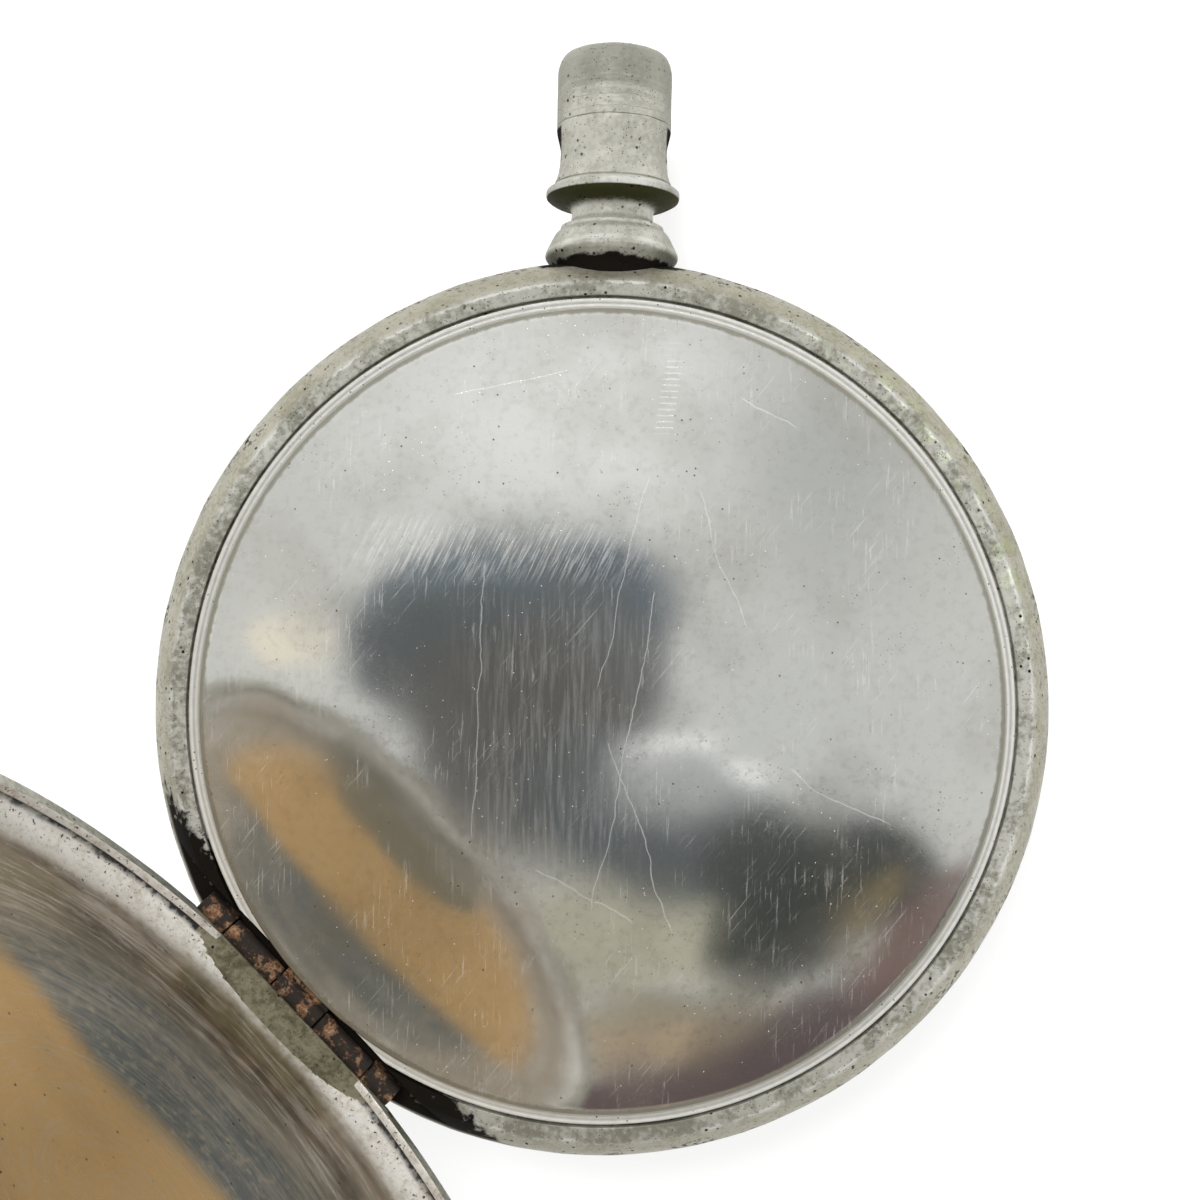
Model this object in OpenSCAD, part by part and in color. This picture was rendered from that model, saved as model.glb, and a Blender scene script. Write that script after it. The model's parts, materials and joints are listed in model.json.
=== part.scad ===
// Hunter pocket watch, key wound, lying on its front lid with the back lid swung open.
// Origin: on the case axis, in the flat outer face of the front lid. +Z runs through the
// watch to its back, +Y to the pendant (3 o'clock), +X to 12 o'clock. Millimetres.

/* [Case band] */
// Height of the band between the two lid seats
band_h = 8.3; // [8.1:0.1:8.8]
// Width in radius of the recess floor behind and before the bore
recess_w = 2.05; // [2:0.05:2.2]
// Width in radius of the seat on which each lid closes
seat_w = 0.9; // [0.8:0.05:1]
// How far the band bulges past the lids
band_bulge = 1.9; // [1.7:0.05:2.2]
// Depth of the front recess, for the bezel
bezel_recess = 0.6; // [0.5:0.05:0.7]
// Depth of the back recess, for the cuvette
cuvette_recess = 0.5; // [0.45:0.05:0.6]
// Thickness of the lip that carries the movement
case_lip = 0.8; // [0.6:0.05:1]
// Width in radius of that lip
case_lip_w = 0.55; // [0.4:0.05:0.7]
// Depth in radius of the spring channel
channel_d = 2.7; // [2.5:0.05:2.8]
// Height of the spring channel
channel_h = 1.8; // [1.75:0.05:1.9]

/* [Lids] */
// Height of a lid over its seat
lid_h = 4.1; // [3.9:0.05:4.4]
// Wall of a lid
lid_wall = 0.5; // [0.4:0.05:0.6]
// Radius of a lid's dome
lid_dome_r = 200; // [180:1:220]
// Depth of the flat on the front lid
lid_flat = 0.4; // [0.3:0.05:0.5]
// Angle at which the back lid stands open
lid_open = 90; // [60:1:104]

/* [Joints] */
// Direction of the lid joint from the case axis
joint_angle = 224.6; // [215:0.2:230]
// Distance of the joint pins inside the lids' rim
joint_in = 0.65; // [0.6:0.01:0.7]
// Depth of a joint pin under its lid seat
joint_drop = 0.25; // [0.2:0.01:0.3]
// Radius of the joint knuckles
knuckle_r = 0.75; // [0.7:0.01:0.8]
// Radius of the joint pins
pin_r = 0.35; // [0.3:0.01:0.4]
// Length of an outer knuckle, on the case
knuckle_case = 2.2; // [1.8:0.1:2.6]
// Length of a lid knuckle
knuckle_lid = 4.1; // [3.6:0.1:4.4]
// Length of the middle knuckle
knuckle_mid = 3.5; // [3:0.1:4]
// Gap between neighbouring knuckles
knuckle_gap = 0.1; // [0.06:0.01:0.15]
// Gap round a turning knuckle
joint_clear = 0.1; // [0.08:0.01:0.15]

/* [Cuvette] */
// Width in radius of the recess left round the cuvette's dome
cuvette_edge_w = 0.85; // [0.8:0.05:1]
// Height of the dome's edge over its flange
cuvette_step = 0.45; // [0.35:0.05:0.55]
// Crown of the dome over its edge
cuvette_crown = 2.05; // [1.6:0.05:2.3]
// Wall of the cuvette
cuvette_wall = 0.35; // [0.3:0.05:0.4]

/* [Pendant] */
// Radius of the pendant's foot on the band
pendant_foot_r = 4.25; // [4:0.05:4.4]
// Height of the domed foot over the band
pendant_foot_h = 2.2; // [2:0.05:2.4]
// Radius of the neck
pendant_neck_r = 2.55; // [2.4:0.05:2.7]
// Length of the neck
pendant_neck_h = 1.7; // [1.5:0.05:1.9]
// Radius of the flared collar
pendant_collar_r = 4.2; // [4:0.05:4.4]
// Thickness of the collar at its rim
pendant_collar_rim = 0.64; // [0.5:0.02:0.8]
// Radius of the barrel at its waist
pendant_tube_r = 3.35; // [3.3:0.05:3.45]
// Distance of that waist under the barrel's top
pendant_waist = 2.2; // [2:0.1:2.4]
// Length of the barrel over the collar
pendant_tube_h = 3.9; // [3.6:0.1:4.4]
// Radius of the two bow holes
bow_hole_r = 0.9; // [0.8:0.05:1]
// Distance of the bow holes under the barrel's top
bow_hole_drop = 1.2; // [1.1:0.05:1.5]
// Radius of the barrel's bore
pendant_bore_r = 2; // [1.9:0.05:2.1]
// Radius of the push-piece
push_r = 3.6; // [3.5:0.02:3.7]
// Length of the push-piece over the barrel
push_h = 4.5; // [4:0.1:5]
// Rounding of its top edge
push_round = 0.8; // [0.5:0.05:1]
// Travel of the push-piece
push_travel = 0.6; // [0.4:0.05:0.65]
// Radius of the push rod
rod_r = 1; // [0.9:0.05:1.05]

/* [Case springs] */
// Thickness of the lock and lift springs
spring_t = 0.7; // [0.6:0.05:0.8]
// Thickness of the nose that reaches the front lid
nose_t = 0.4; // [0.3:0.05:0.45]
// Width of that nose
nose_w = 2.6; // [2.2:0.1:3]
// Angle that each case spring spans
spring_span = 78; // [60:1:84]

/* [Dial side] */
// Width in radius of the recess left round the bezel
bezel_edge_w = 1.05; // [1:0.05:1.15]
// Width in radius of the bezel round its crystal
bezel_w = 1.7; // [1.6:0.05:1.8]
// Thickness of the crystal
crystal_t = 0.6; // [0.5:0.05:0.7]
// Crown of the crystal
crystal_crown = 1.9; // [1.7:0.05:2]
// Gap in radius round the dial
dial_gap = 0.55; // [0.4:0.05:0.6]
// Thickness of the dial
dial_t = 0.65; // [0.5:0.05:0.7]
// Radius of the sunk seconds dial
seconds_dial_r = 5.4; // [5:0.1:5.8]
// Length of the minute hand
minute_hand_l = 18; // [16:0.5:18.5]
// Length of the hour hand
hour_hand_l = 12; // [10:0.5:13]
// Length of the seconds hand
seconds_hand_l = 4.6; // [4:0.1:5]
// Thickness of the hands
hand_t = 0.15; // [0.1:0.01:0.18]

/* [Movement plates] */
// Radius of the movement
movement_r = 22.4; // [22.2:0.05:22.5]
// Thickness of the mainplate
plate_t = 1.2; // [1.1:0.05:1.3]
// Thickness of the mainplate's flange
flange_t = 0.4; // [0.3:0.05:0.5]
// Space between the plates
train_space = 3; // [2.95:0.05:3.05]
// Thickness of the top plate
top_t = 1; // [0.9:0.05:1.05]
// Radius of a pillar
pillar_r = 0.9; // [0.8:0.05:1]
// Distance of the pillars inside the mainplate's rim
pillar_in = 1.8; // [1.7:0.05:2]

/* [Train] */
// Module of the barrel's teeth
barrel_module = 0.24; // [0.238:0.001:0.242]
// Teeth of the barrel
barrel_teeth = 72; // [71:1:73]
// Leaves of the centre pinion
centre_leaves = 12; // [12:1:13]
// Module of the centre wheel's teeth
centre_module = 0.18; // [0.178:0.001:0.182]
// Teeth of the centre wheel
centre_teeth = 80; // [79:1:81]
// Module of the third wheel's teeth
third_module = 0.16; // [0.158:0.001:0.162]
// Teeth of the third wheel
third_teeth = 75; // [74:1:76]
// Leaves of the third and fourth pinions
train_leaves = 10; // [10:1:11]
// Module of the fourth wheel's teeth
fourth_module = 0.14; // [0.138:0.001:0.142]
// Teeth of the fourth wheel
fourth_teeth = 70; // [69:1:71]
// Leaves of the escape pinion
escape_leaves = 7; // [7:1:8]
// Distance of the fourth wheel from the centre, under the seconds dial
seconds_a = 10; // [9.9:0.02:10.1]
// Module of the motion work's first pair
motion_module = 0.2; // [0.198:0.001:0.202]
// Teeth of the escape wheel
escape_teeth = 15; // [15:1:16]
// Radius of the escape wheel
escape_r = 3.7; // [3.6:0.05:3.75]
// Width in radius of the balance cock's foot
cock_foot_w = 1.75; // [1.7:0.05:1.9]

/* [Hidden] */
$fn = 96;
eps = 0.01;
// how far a cut runs past what it cuts
over = 1;
tau = 360;
run_clear = 0.03;
fit_clear = 0.05;
rod_clear = 0.12;

front_z = lid_h - lid_flat;
back_z = front_z + band_h;
mid_z = front_z + band_h / 2;

// case radii, from the movement outwards
shelf_r = movement_r + 0.2;
case_bore_r = shelf_r + case_lip_w;
recess_r = case_bore_r + recess_w;
lid_r = recess_r + seat_w;
case_r = lid_r + band_bulge;
cuvette_r = recess_r - cuvette_edge_w;
bezel_r = recess_r - bezel_edge_w;
crystal_r = bezel_r - bezel_w;
dial_r = case_bore_r - dial_gap;
band_arc = (band_h * band_h / 4 + band_bulge * band_bulge) / (2 * band_bulge);
band_arc_x = case_r - band_arc;

// movement levels, from the mainplate's seat upwards
dial_z = front_z + bezel_recess + fit_clear;
motion_gap = 1.1;
plate_z = dial_z + dial_t + motion_gap;
plate_top = plate_z + plate_t;
seat_z = plate_z + flange_t;
top_z = plate_top + train_space;
top_face = top_z + top_t;
cuvette_z = back_z - cuvette_recess;

// joints
joint_a = lid_r - joint_in;
back_joint_z = back_z - joint_drop;
front_joint_z = front_z + joint_drop;
gutter_r = knuckle_r + joint_clear;
chord_a = joint_a - knuckle_r - 0.4;
notch_d = joint_drop + gutter_r;
bar_a = chord_a + 0.15;
tube_l = 2 * knuckle_case + 2 * knuckle_lid + knuckle_mid + 4 * knuckle_gap;
joint_dir = [cos(joint_angle + 90), sin(joint_angle + 90)];

// spring channel and springs
channel_z = plate_top + 0.1;
channel_r = case_bore_r + channel_d;
spring_r = channel_r - 0.45;
spring_z = channel_z + 0.1;
spring_h = channel_h - 0.2;
lock_angle = 90;
lift_angle = joint_angle + 25;
nose_z = front_z - 0.6;
nose_inset = 0.12;
spring_tip = 4.5;

// pendant levels, from the case axis along +Y
pendant_start = case_r - 1.2;
foot_top = case_r + pendant_foot_h;
neck_top = foot_top + pendant_neck_h;
collar_top = neck_top + pendant_collar_rim;
tube_top = collar_top + pendant_tube_h;
push_gap = fit_clear;
stem_clear = 0.08;
rod_end = spring_r + fit_clear - push_travel;
bore_floor = neck_top + 0.3;

// train places
function polar(a, r) = [r * cos(a), r * sin(a)];
function heading(p, q) = atan2(q[1] - p[1], q[0] - p[0]);
function mesh_phase(a, phase, za, zb) = a + 180 - 180 / zb + (a - phase) * za / zb;
centre_pos = [0, 0];
barrel_dist = barrel_module * (barrel_teeth + centre_leaves) / 2;
barrel_angle = 14;
barrel_pos = polar(barrel_angle, barrel_dist);
centre_dist = centre_module * (centre_teeth + train_leaves) / 2;
third_dist = third_module * (third_teeth + train_leaves) / 2;
third_side = (pow(centre_dist, 2) + pow(seconds_a, 2) - pow(third_dist, 2)) / (2 * seconds_a);
third_pos = [-third_side, sqrt(pow(centre_dist, 2) - pow(third_side, 2))];
fourth_pos = [-seconds_a, 0];
fourth_dist = fourth_module * (fourth_teeth + escape_leaves) / 2;
escape_angle = -65;
escape_pos = fourth_pos + polar(escape_angle, fourth_dist);
lever_angle = -51;
pallet_dist = escape_r * 1.16;
pallet_pos = escape_pos + polar(lever_angle, pallet_dist);
fork_l = 3.9;
roller_r = 0.98;
balance_pos = pallet_pos + polar(lever_angle, fork_l + roller_r);
balance_screw_l = 0.35;
balance_gap = 0.2;
cock_foot_a = movement_r - 0.7;
balance_r = cock_foot_a - cock_foot_w - balance_gap - balance_screw_l - norm(balance_pos);

barrel_phase = 0;
centre_phase = mesh_phase(heading(barrel_pos, centre_pos), barrel_phase, barrel_teeth, centre_leaves);
third_phase = mesh_phase(heading(centre_pos, third_pos), centre_phase, centre_teeth, train_leaves);
fourth_phase = mesh_phase(heading(third_pos, fourth_pos), third_phase, third_teeth, train_leaves);
escape_phase = mesh_phase(escape_angle, fourth_phase, fourth_teeth, escape_leaves);

// train levels
barrel_z = plate_top + 0.2;
barrel_h = 1.9;
barrel_flange = 0.6;
barrel_rim_r = barrel_module * barrel_teeth / 2 - 0.44;
barrel_wall = 0.4;
barrel_hub_r = 0.8;
cover_t = 0.25;
wheel_t = 0.25;
centre_wheel_z = top_z - 0.6;
third_wheel_z = plate_top + 0.5;
fourth_wheel_z = plate_top + 1.6;
escape_wheel_z = plate_top + 0.9;
arbor_r = 0.3;
pivot_r = 0.12;
jewel_r = 0.7;
jewel_t = 0.35;
pivot_clear = 0.03;

// dial side levels
cannon_leaves = 12;
minute_teeth = 36;
minute_leaves = 10;
hour_teeth = 40;
minute_dist = motion_module * (cannon_leaves + minute_teeth) / 2;
hour_module = 2 * minute_dist / (minute_leaves + hour_teeth);
minute_angle = -60;
minute_pos = polar(minute_angle, minute_dist);
cannon_phase = 0;
minute_phase = mesh_phase(minute_angle, cannon_phase, cannon_leaves, minute_teeth);
hour_phase = mesh_phase(minute_angle + 180, minute_phase, minute_leaves, hour_teeth);
crystal_arc = (crystal_r * crystal_r + crystal_crown * crystal_crown) / (2 * crystal_crown);
crystal_rim_z = dial_z - crystal_t - 0.8;
crystal_apex_z = crystal_rim_z - crystal_crown;
hour_hand_z = dial_z - 0.9;
minute_hand_z = hour_hand_z - 0.4;
seconds_hand_z = dial_z - 0.35;
hour_tube_r = 1.5;
cannon_r = 0.9;
centre_arbor_r = 0.5;

// winding and balance levels
ratchet_z = top_face + 0.05;
ratchet_t = 0.45;
ratchet_r = 3;
ratchet_teeth = 24;
square_w = 1.3;
balance_z = top_z + 0.05;
balance_h = 0.8;
balance_rim = 0.6;
balance_clear = 0.6;
cock_z = top_face + 0.45;
cock_t = 0.6;
hairspring_z = cock_z - 0.45;
roller_z = escape_wheel_z + 0.5;

// ---- shared shapes ----

module tube(r, bore, h) {
    difference() {
        cylinder(r = r, h = h);
        translate([0, 0, -eps]) cylinder(r = bore, h = h + 2 * eps);
    }
}

// a cylinder lying along +Y
module along_y(r, from, to) {
    translate([0, from, 0]) rotate([-90, 0, 0]) cylinder(r = r, h = to - from);
}

// the joint's own frame: +X points away from the case, +Y along the pin
module at_joint(z) {
    rotate([0, 0, joint_angle]) translate([joint_a, 0, z]) children();
}

// swings what is drawn closed about the joint pin at height z
module swing(a, z) {
    at_joint(z) rotate([0, a, 0]) translate([-joint_a, 0, -z]) rotate([0, 0, -joint_angle]) children();
}

// knuckle number i, counted along the pin, drawn from its own start to its end
function knuckle_start(i) = -tube_l / 2 + (i > 0 ? knuckle_case + knuckle_gap : 0)
    + (i > 1 ? knuckle_lid + knuckle_gap : 0) + (i > 2 ? knuckle_mid + knuckle_gap : 0)
    + (i > 3 ? knuckle_lid + knuckle_gap : 0);
function knuckle_len(i) = (i == 0 || i == 4) ? knuckle_case : (i == 2 ? knuckle_mid : knuckle_lid);

module knuckle(i) {
    difference() {
        along_y(knuckle_r, knuckle_start(i), knuckle_start(i) + knuckle_len(i));
        along_y(pin_r + run_clear, -tube_l, tube_l);
    }
}

// straight-sided teeth that clear each other by their backlash
function tooth_points(teeth, m, addendum, dedendum) = [
    for (i = [0 : teeth - 1], k = [[-0.27, -dedendum], [-0.09, addendum], [0.09, addendum], [0.27, -dedendum]])
        polar((i + k[0]) * tau / teeth, m * teeth / 2 + k[1] * m)
];

module teeth_2d(teeth, m, addendum = 0.8, dedendum = 1.1) {
    polygon(tooth_points(teeth, m, addendum, dedendum));
}

// a crossed-out train wheel
module wheel(teeth, m, t, bore, arms = 5, rim = 0.55, hub = 1.1, arm = 0.45) {
    root = m * teeth / 2 - 1.1 * m;
    linear_extrude(t) difference() {
        union() {
            difference() {
                teeth_2d(teeth, m);
                circle(root - rim);
            }
            for (i = [0 : arms - 1])
                rotate(i * tau / arms) translate([0, -arm / 2]) square([root - rim / 2, arm]);
            circle(hub);
        }
        circle(bore);
    }
}

// a leaf pinion on its arbor with a pivot at each end; z values are absolute
module pinion(leaves, m, z0, h, bottom, top, r = arbor_r) {
    translate([0, 0, z0]) linear_extrude(h) teeth_2d(leaves, m, 0.8, 1.15);
    translate([0, 0, bottom]) cylinder(r = r, h = top - bottom);
    translate([0, 0, bottom - 0.7]) cylinder(r = pivot_r, h = top - bottom + 1.4);
}

module screw(head_r, head_h, shank_r, shank_l, slot = 0.22) {
    difference() {
        cylinder(r = head_r, h = head_h);
        translate([-head_r, -slot / 2, head_h * 0.6]) cube([2 * head_r, slot, head_h]);
    }
    translate([0, 0, -shank_l]) cylinder(r = shank_r, h = shank_l);
}

// ---- case ----

module band_2d() {
    intersection() {
        translate([band_arc_x, mid_z]) circle(band_arc);
        translate([0, front_z]) square([case_r + 1, band_h]);
    }
}

module band_hollow_2d() {
    square([shelf_r, back_z + 1]);
    square([recess_r, front_z + bezel_recess]);
    square([case_bore_r, seat_z]);
    translate([0, seat_z + case_lip]) square([case_bore_r, back_z]);
    translate([0, channel_z]) square([channel_r, channel_h]);
    translate([0, cuvette_z]) square([recess_r, cuvette_recess + 1]);
}

module chord_cut(z, h) {
    rotate([0, 0, joint_angle]) translate([chord_a, -case_r, z]) cube([case_r, 2 * case_r, h]);
}

module nose_slot(a) {
    rotate([0, 0, a - 90])
        translate([-nose_w / 2 - 0.7, spring_r - nose_inset - nose_t - push_travel - 0.1, front_z - 1])
        cube([nose_w + 1.4, nose_inset + nose_t + push_travel + 0.2, channel_z + channel_h - front_z + 1]);
}

module case_centre() {
    color("darkseagreen") difference() {
        rotate_extrude() difference() {
            band_2d();
            band_hollow_2d();
        }
        chord_cut(back_z - notch_d, notch_d + 1);
        chord_cut(front_z - 1, notch_d + 1);
        nose_slot(lock_angle);
        nose_slot(lift_angle);
        translate([0, 0, mid_z]) along_y(rod_r + rod_clear, shelf_r, case_r + 1);
    }
}

// the pendant's half outline, x out from its axis and y along it
module pendant_2d() {
    foot_r = pendant_neck_r + 0.6;
    difference() {
        union() {
            intersection() {
                translate([0, pendant_start]) square([pendant_foot_r, foot_top - pendant_start - 0.25]);
                translate([0, foot_top - 0.25 - pendant_foot_r]) circle(pendant_foot_r + 0.35);
            }
            translate([0, pendant_start]) square([foot_r, foot_top - pendant_start]);
            translate([0, foot_top - eps]) square([foot_r, pendant_neck_h + 2 * eps]);
            polygon([
                [0, neck_top - 0.45], [pendant_neck_r, neck_top - 0.45],
                [pendant_collar_r - 0.1, neck_top], [pendant_collar_r, neck_top + 0.15],
                [pendant_collar_r, collar_top - 0.15], [pendant_collar_r - 0.1, collar_top],
                [pendant_tube_r + 0.5, collar_top + 0.2], [0, collar_top + 0.2]
            ]);
            polygon([
                [0, collar_top], [pendant_tube_r + 0.4, collar_top],
                [pendant_tube_r + 0.1, collar_top + 0.8], [pendant_tube_r, tube_top - pendant_waist],
                [push_r, tube_top - 0.5], [push_r, tube_top], [0, tube_top]
            ]);
        }
        translate([foot_r + 0.32, foot_top + pendant_neck_h / 2 - 0.12]) circle(0.92);
        translate([0, bore_floor]) square([pendant_bore_r, tube_top]);
        square([rod_r + rod_clear, tube_top]);
    }
}

module pendant() {
    color("darkkhaki") difference() {
        translate([0, 0, mid_z]) rotate([-90, 0, 0]) rotate_extrude() pendant_2d();
        rotate_extrude() band_2d();
        translate([0, tube_top - bow_hole_drop, mid_z]) rotate([0, 90, 0])
            cylinder(r = bow_hole_r, h = 2 * case_r, center = true);
    }
}

module push_piece() {
    // the stem stays clear of the bow holes' inner mouths
    stem_r = sqrt(pow(pendant_bore_r, 2) - pow(bow_hole_r, 2)) - stem_clear;
    color("tan") translate([0, 0, mid_z]) rotate([-90, 0, 0]) rotate_extrude() {
        translate([0, tube_top + push_gap]) square([push_r, push_h - push_gap - push_round]);
        translate([0, tube_top + push_h - push_round - eps]) square([push_r - push_round, push_round + eps]);
        intersection() {
            translate([push_r - push_round, tube_top + push_h - push_round]) circle(push_round);
            translate([0, tube_top + push_gap]) square([push_r, push_h]);
        }
        translate([0, bore_floor + push_gap]) square([stem_r, tube_top + push_h / 2 - bore_floor - push_gap]);
        translate([0, rod_end]) square([rod_r, tube_top - rod_end]);
    }
}

spring_lug_a = spring_r - spring_t / 2 - 0.4;
lug_r = 0.65;
lug_screw_r = 0.3;
lock_lug = lock_angle + spring_span;
lift_lug = lift_angle + spring_span;

// a case spring seen from above, its nose at angle 0 and its bored lug at the far end
module spring_2d() {
    reach = 2 * spring_r;
    difference() {
        union() {
            intersection() {
                difference() {
                    circle(spring_r);
                    circle(spring_r - spring_t);
                }
                polygon([
                    [0, 0],
                    [reach * cos(spring_tip), -reach * sin(spring_tip)],
                    [reach * cos(spring_span / 2), reach * sin(spring_span / 2)],
                    [reach * cos(spring_span), reach * sin(spring_span)],
                ]);
            }
            rotate(spring_span) translate([spring_lug_a, 0]) circle(lug_r);
        }
        rotate(spring_span) translate([spring_lug_a, 0]) circle(lug_screw_r + run_clear);
    }
}

// a flat spring in the case channel, with a nose that reaches the front lid
module case_spring(angle) {
    color("steelblue") rotate([0, 0, angle]) {
        translate([0, 0, spring_z]) linear_extrude(spring_h) spring_2d();
        translate([spring_r - nose_inset - nose_t, -nose_w / 2, nose_z])
            cube([nose_t, nose_w, spring_z + spring_h / 2 - nose_z]);
    }
}

// how far the pressed rod has turned the lock spring about its screw
lock_pos = polar(lock_angle + spring_span, spring_lug_a);
lock_flex = asin((push_travel + 0.02) / norm([lock_pos[0], 0]));

module lock_spring() {
    translate([lock_pos[0], lock_pos[1], 0]) rotate([0, 0, -lock_flex])
        translate([-lock_pos[0], -lock_pos[1], 0]) case_spring(lock_angle);
}

module lift_spring() {
    case_spring(lift_angle);
}

module spring_screws() {
    color("dimgray") for (a = [lock_lug, lift_lug])
        rotate([0, 0, a]) translate([spring_lug_a, 0, channel_z])
            cylinder(r = lug_screw_r, h = channel_h);
}

// ---- lids ----

lid_edge = (2 * lid_dome_r * lid_h - pow(lid_r, 2) - pow(lid_h, 2)) / (2 * (lid_dome_r - lid_r));
lid_edge_x = lid_r - lid_edge;

// region under a lid's surface, drawn in by off; the rim lies at y = 0
module lid_2d(off) {
    meet = lid_edge_x + (lid_edge - off) * lid_edge_x / (lid_dome_r - lid_edge);
    intersection() {
        translate([0, lid_h - lid_dome_r]) circle(lid_dome_r - off, $fn = 720);
        square([meet, lid_h]);
    }
    intersection() {
        translate([lid_edge_x, 0]) circle(lid_edge - off);
        square([lid_r, lid_h]);
    }
}

// the straight bar along a lid's joint, filling its chord
module joint_bar() {
    bar_l = tube_l + 2 * joint_clear + 1.2;
    intersection() {
        rotate_extrude() lid_2d(0);
        rotate([0, 0, joint_angle]) translate([bar_a, -bar_l / 2, 0]) cube([lid_r, bar_l, lid_h]);
    }
}

// clears the tube: wide round the knuckles that stay, close on the lid's own
module gutter() {
    along_y(knuckle_r + eps, -tube_l / 2 - joint_clear, tube_l / 2 + joint_clear);
    for (i = [0, 2, 4])
        along_y(gutter_r, knuckle_start(i) - joint_clear, knuckle_start(i) + knuckle_len(i) + joint_clear);
}

// a lid drawn closed over its seat at z = 0, dome up
module lid_shell() {
    difference() {
        union() {
            rotate_extrude() difference() {
                lid_2d(0);
                lid_2d(lid_wall);
            }
            joint_bar();
        }
        at_joint(-joint_drop) gutter();
    }
}

module lid_knuckles(z) {
    at_joint(z) for (i = [1, 3]) knuckle(i);
}

module back_lid() {
    color("silver") swing(lid_open, back_joint_z) translate([0, 0, back_z]) lid_shell();
}

module back_lid_knuckles() {
    color("peru") swing(lid_open, back_joint_z) lid_knuckles(back_joint_z);
}

// knuckles soldered to the case, each on a foot in the notch
module case_knuckles(z, side) {
    foot_h = gutter_r;
    at_joint(z) for (i = [0, 4]) difference() {
        union() {
            knuckle(i);
            translate([-knuckle_r, knuckle_start(i), side > 0 ? -foot_h : 0])
                cube([knuckle_r, knuckle_len(i), foot_h]);
        }
        along_y(pin_r + run_clear, -tube_l, tube_l);
    }
}

module back_case_knuckles() {
    color("sienna") case_knuckles(back_joint_z, 1);
}

module front_case_knuckles() {
    color("sienna") {
        case_knuckles(front_joint_z, -1);
        at_joint(front_joint_z) difference() {
            union() {
                knuckle(2);
                translate([-knuckle_r, knuckle_start(2), 0]) cube([knuckle_r, knuckle_mid, gutter_r]);
            }
            along_y(pin_r + run_clear, -tube_l, tube_l);
        }
    }
}

module joint_pin(z) {
    at_joint(z) along_y(pin_r, -tube_l / 2, tube_l / 2);
}

module back_joint_pin() {
    color("saddlebrown") joint_pin(back_joint_z);
}

module front_joint_pin() {
    color("saddlebrown") joint_pin(front_joint_z);
}

module front_lid() {
    color("silver") difference() {
        translate([0, 0, front_z]) mirror([0, 0, 1]) lid_shell();
        translate([0, 0, -1]) cylinder(r = lid_r, h = 1);
    }
    color("silver") intersection() {
        translate([0, 0, front_z]) mirror([0, 0, 1]) rotate_extrude() lid_2d(0);
        cylinder(r = lid_r, h = lid_wall);
    }
}

module front_lid_knuckles() {
    color("peru") lid_knuckles(front_joint_z);
}

// ---- cuvette ----

cuvette_flange_r = recess_r - 0.15;
cuvette_flange_t = cuvette_recess - 0.1;
cuvette_edge_z = cuvette_z + cuvette_flange_t + cuvette_step;
cuvette_arc = (pow(cuvette_r, 2) + pow(cuvette_crown, 2)) / (2 * cuvette_crown);

module cuvette_2d(off) {
    translate([0, cuvette_z - (off > 0 ? 1 : 0)])
        square([cuvette_r - off, cuvette_edge_z - cuvette_z - off + (off > 0 ? 1 : 0)]);
    intersection() {
        translate([0, cuvette_edge_z + cuvette_crown - cuvette_arc]) circle(cuvette_arc - off, $fn = 720);
        translate([0, cuvette_edge_z - off - eps]) square([cuvette_r - off, cuvette_crown + 1]);
    }
}

module cuvette() {
    color("gainsboro") difference() {
        rotate_extrude() difference() {
            union() {
                cuvette_2d(0);
                translate([0, cuvette_z]) square([cuvette_flange_r, cuvette_flange_t]);
            }
            cuvette_2d(cuvette_wall);
        }
        rotate([0, 0, joint_angle]) translate([chord_a - joint_clear, -case_r, cuvette_z - 1])
            cube([case_r, 2 * case_r, cuvette_flange_t + 1]);
    }
}

module cuvette_knuckle() {
    reach = joint_a - chord_a + joint_clear;
    color("chocolate") difference() {
        union() {
            at_joint(back_joint_z) knuckle(2);
            at_joint(cuvette_z) translate([-reach, knuckle_start(2), 0])
                cube([reach, knuckle_mid, cuvette_flange_t - fit_clear]);
        }
        at_joint(back_joint_z) along_y(pin_r + run_clear, -tube_l, tube_l);
    }
}

// ---- dial side ----

module bezel() {
    lip_r = crystal_r - 0.4;
    top = crystal_rim_z - 0.15;
    seat = front_z + bezel_recess;
    color("silver") rotate_extrude() polygon([
        [lip_r, top - 0.3], [bezel_r - 0.9, top - 0.3], [bezel_r, top + 0.35], [bezel_r, seat],
        [lip_r - 0.2, seat], [lip_r - 0.2, crystal_rim_z + crystal_t + 0.05],
        [crystal_r + fit_clear, crystal_rim_z + crystal_t + 0.05],
        [crystal_r + fit_clear, crystal_rim_z - 0.05], [lip_r, crystal_rim_z - 0.05]
    ]);
}

module crystal() {
    color("lightcyan", 0.4) rotate_extrude() intersection() {
        square([crystal_r, crystal_rim_z + crystal_t]);
        difference() {
            translate([0, crystal_apex_z + crystal_arc]) circle(crystal_arc, $fn = 720);
            translate([0, crystal_apex_z + crystal_arc + crystal_t]) circle(crystal_arc, $fn = 720);
        }
    }
}

module dial() {
    foot_pos = [for (a = dial_foot_angles) polar(a, dial_r - dial_foot_in)];
    color("ivory") difference() {
        union() {
            translate([0, 0, dial_z]) cylinder(r = dial_r, h = dial_t);
            for (p = foot_pos) translate([p[0], p[1], dial_z])
                cylinder(r = dial_foot_r, h = plate_z + plate_t / 2 - dial_z);
        }
        translate([0, 0, dial_z - over]) cylinder(r = hour_tube_r + 0.3, h = dial_t + 2 * over);
        translate([fourth_pos[0], fourth_pos[1], dial_z - over]) cylinder(r = seconds_dial_r, h = 1.15);
        translate([fourth_pos[0], fourth_pos[1], dial_z - over]) cylinder(r = 0.6, h = dial_t + 2 * over);
    }
}

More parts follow.
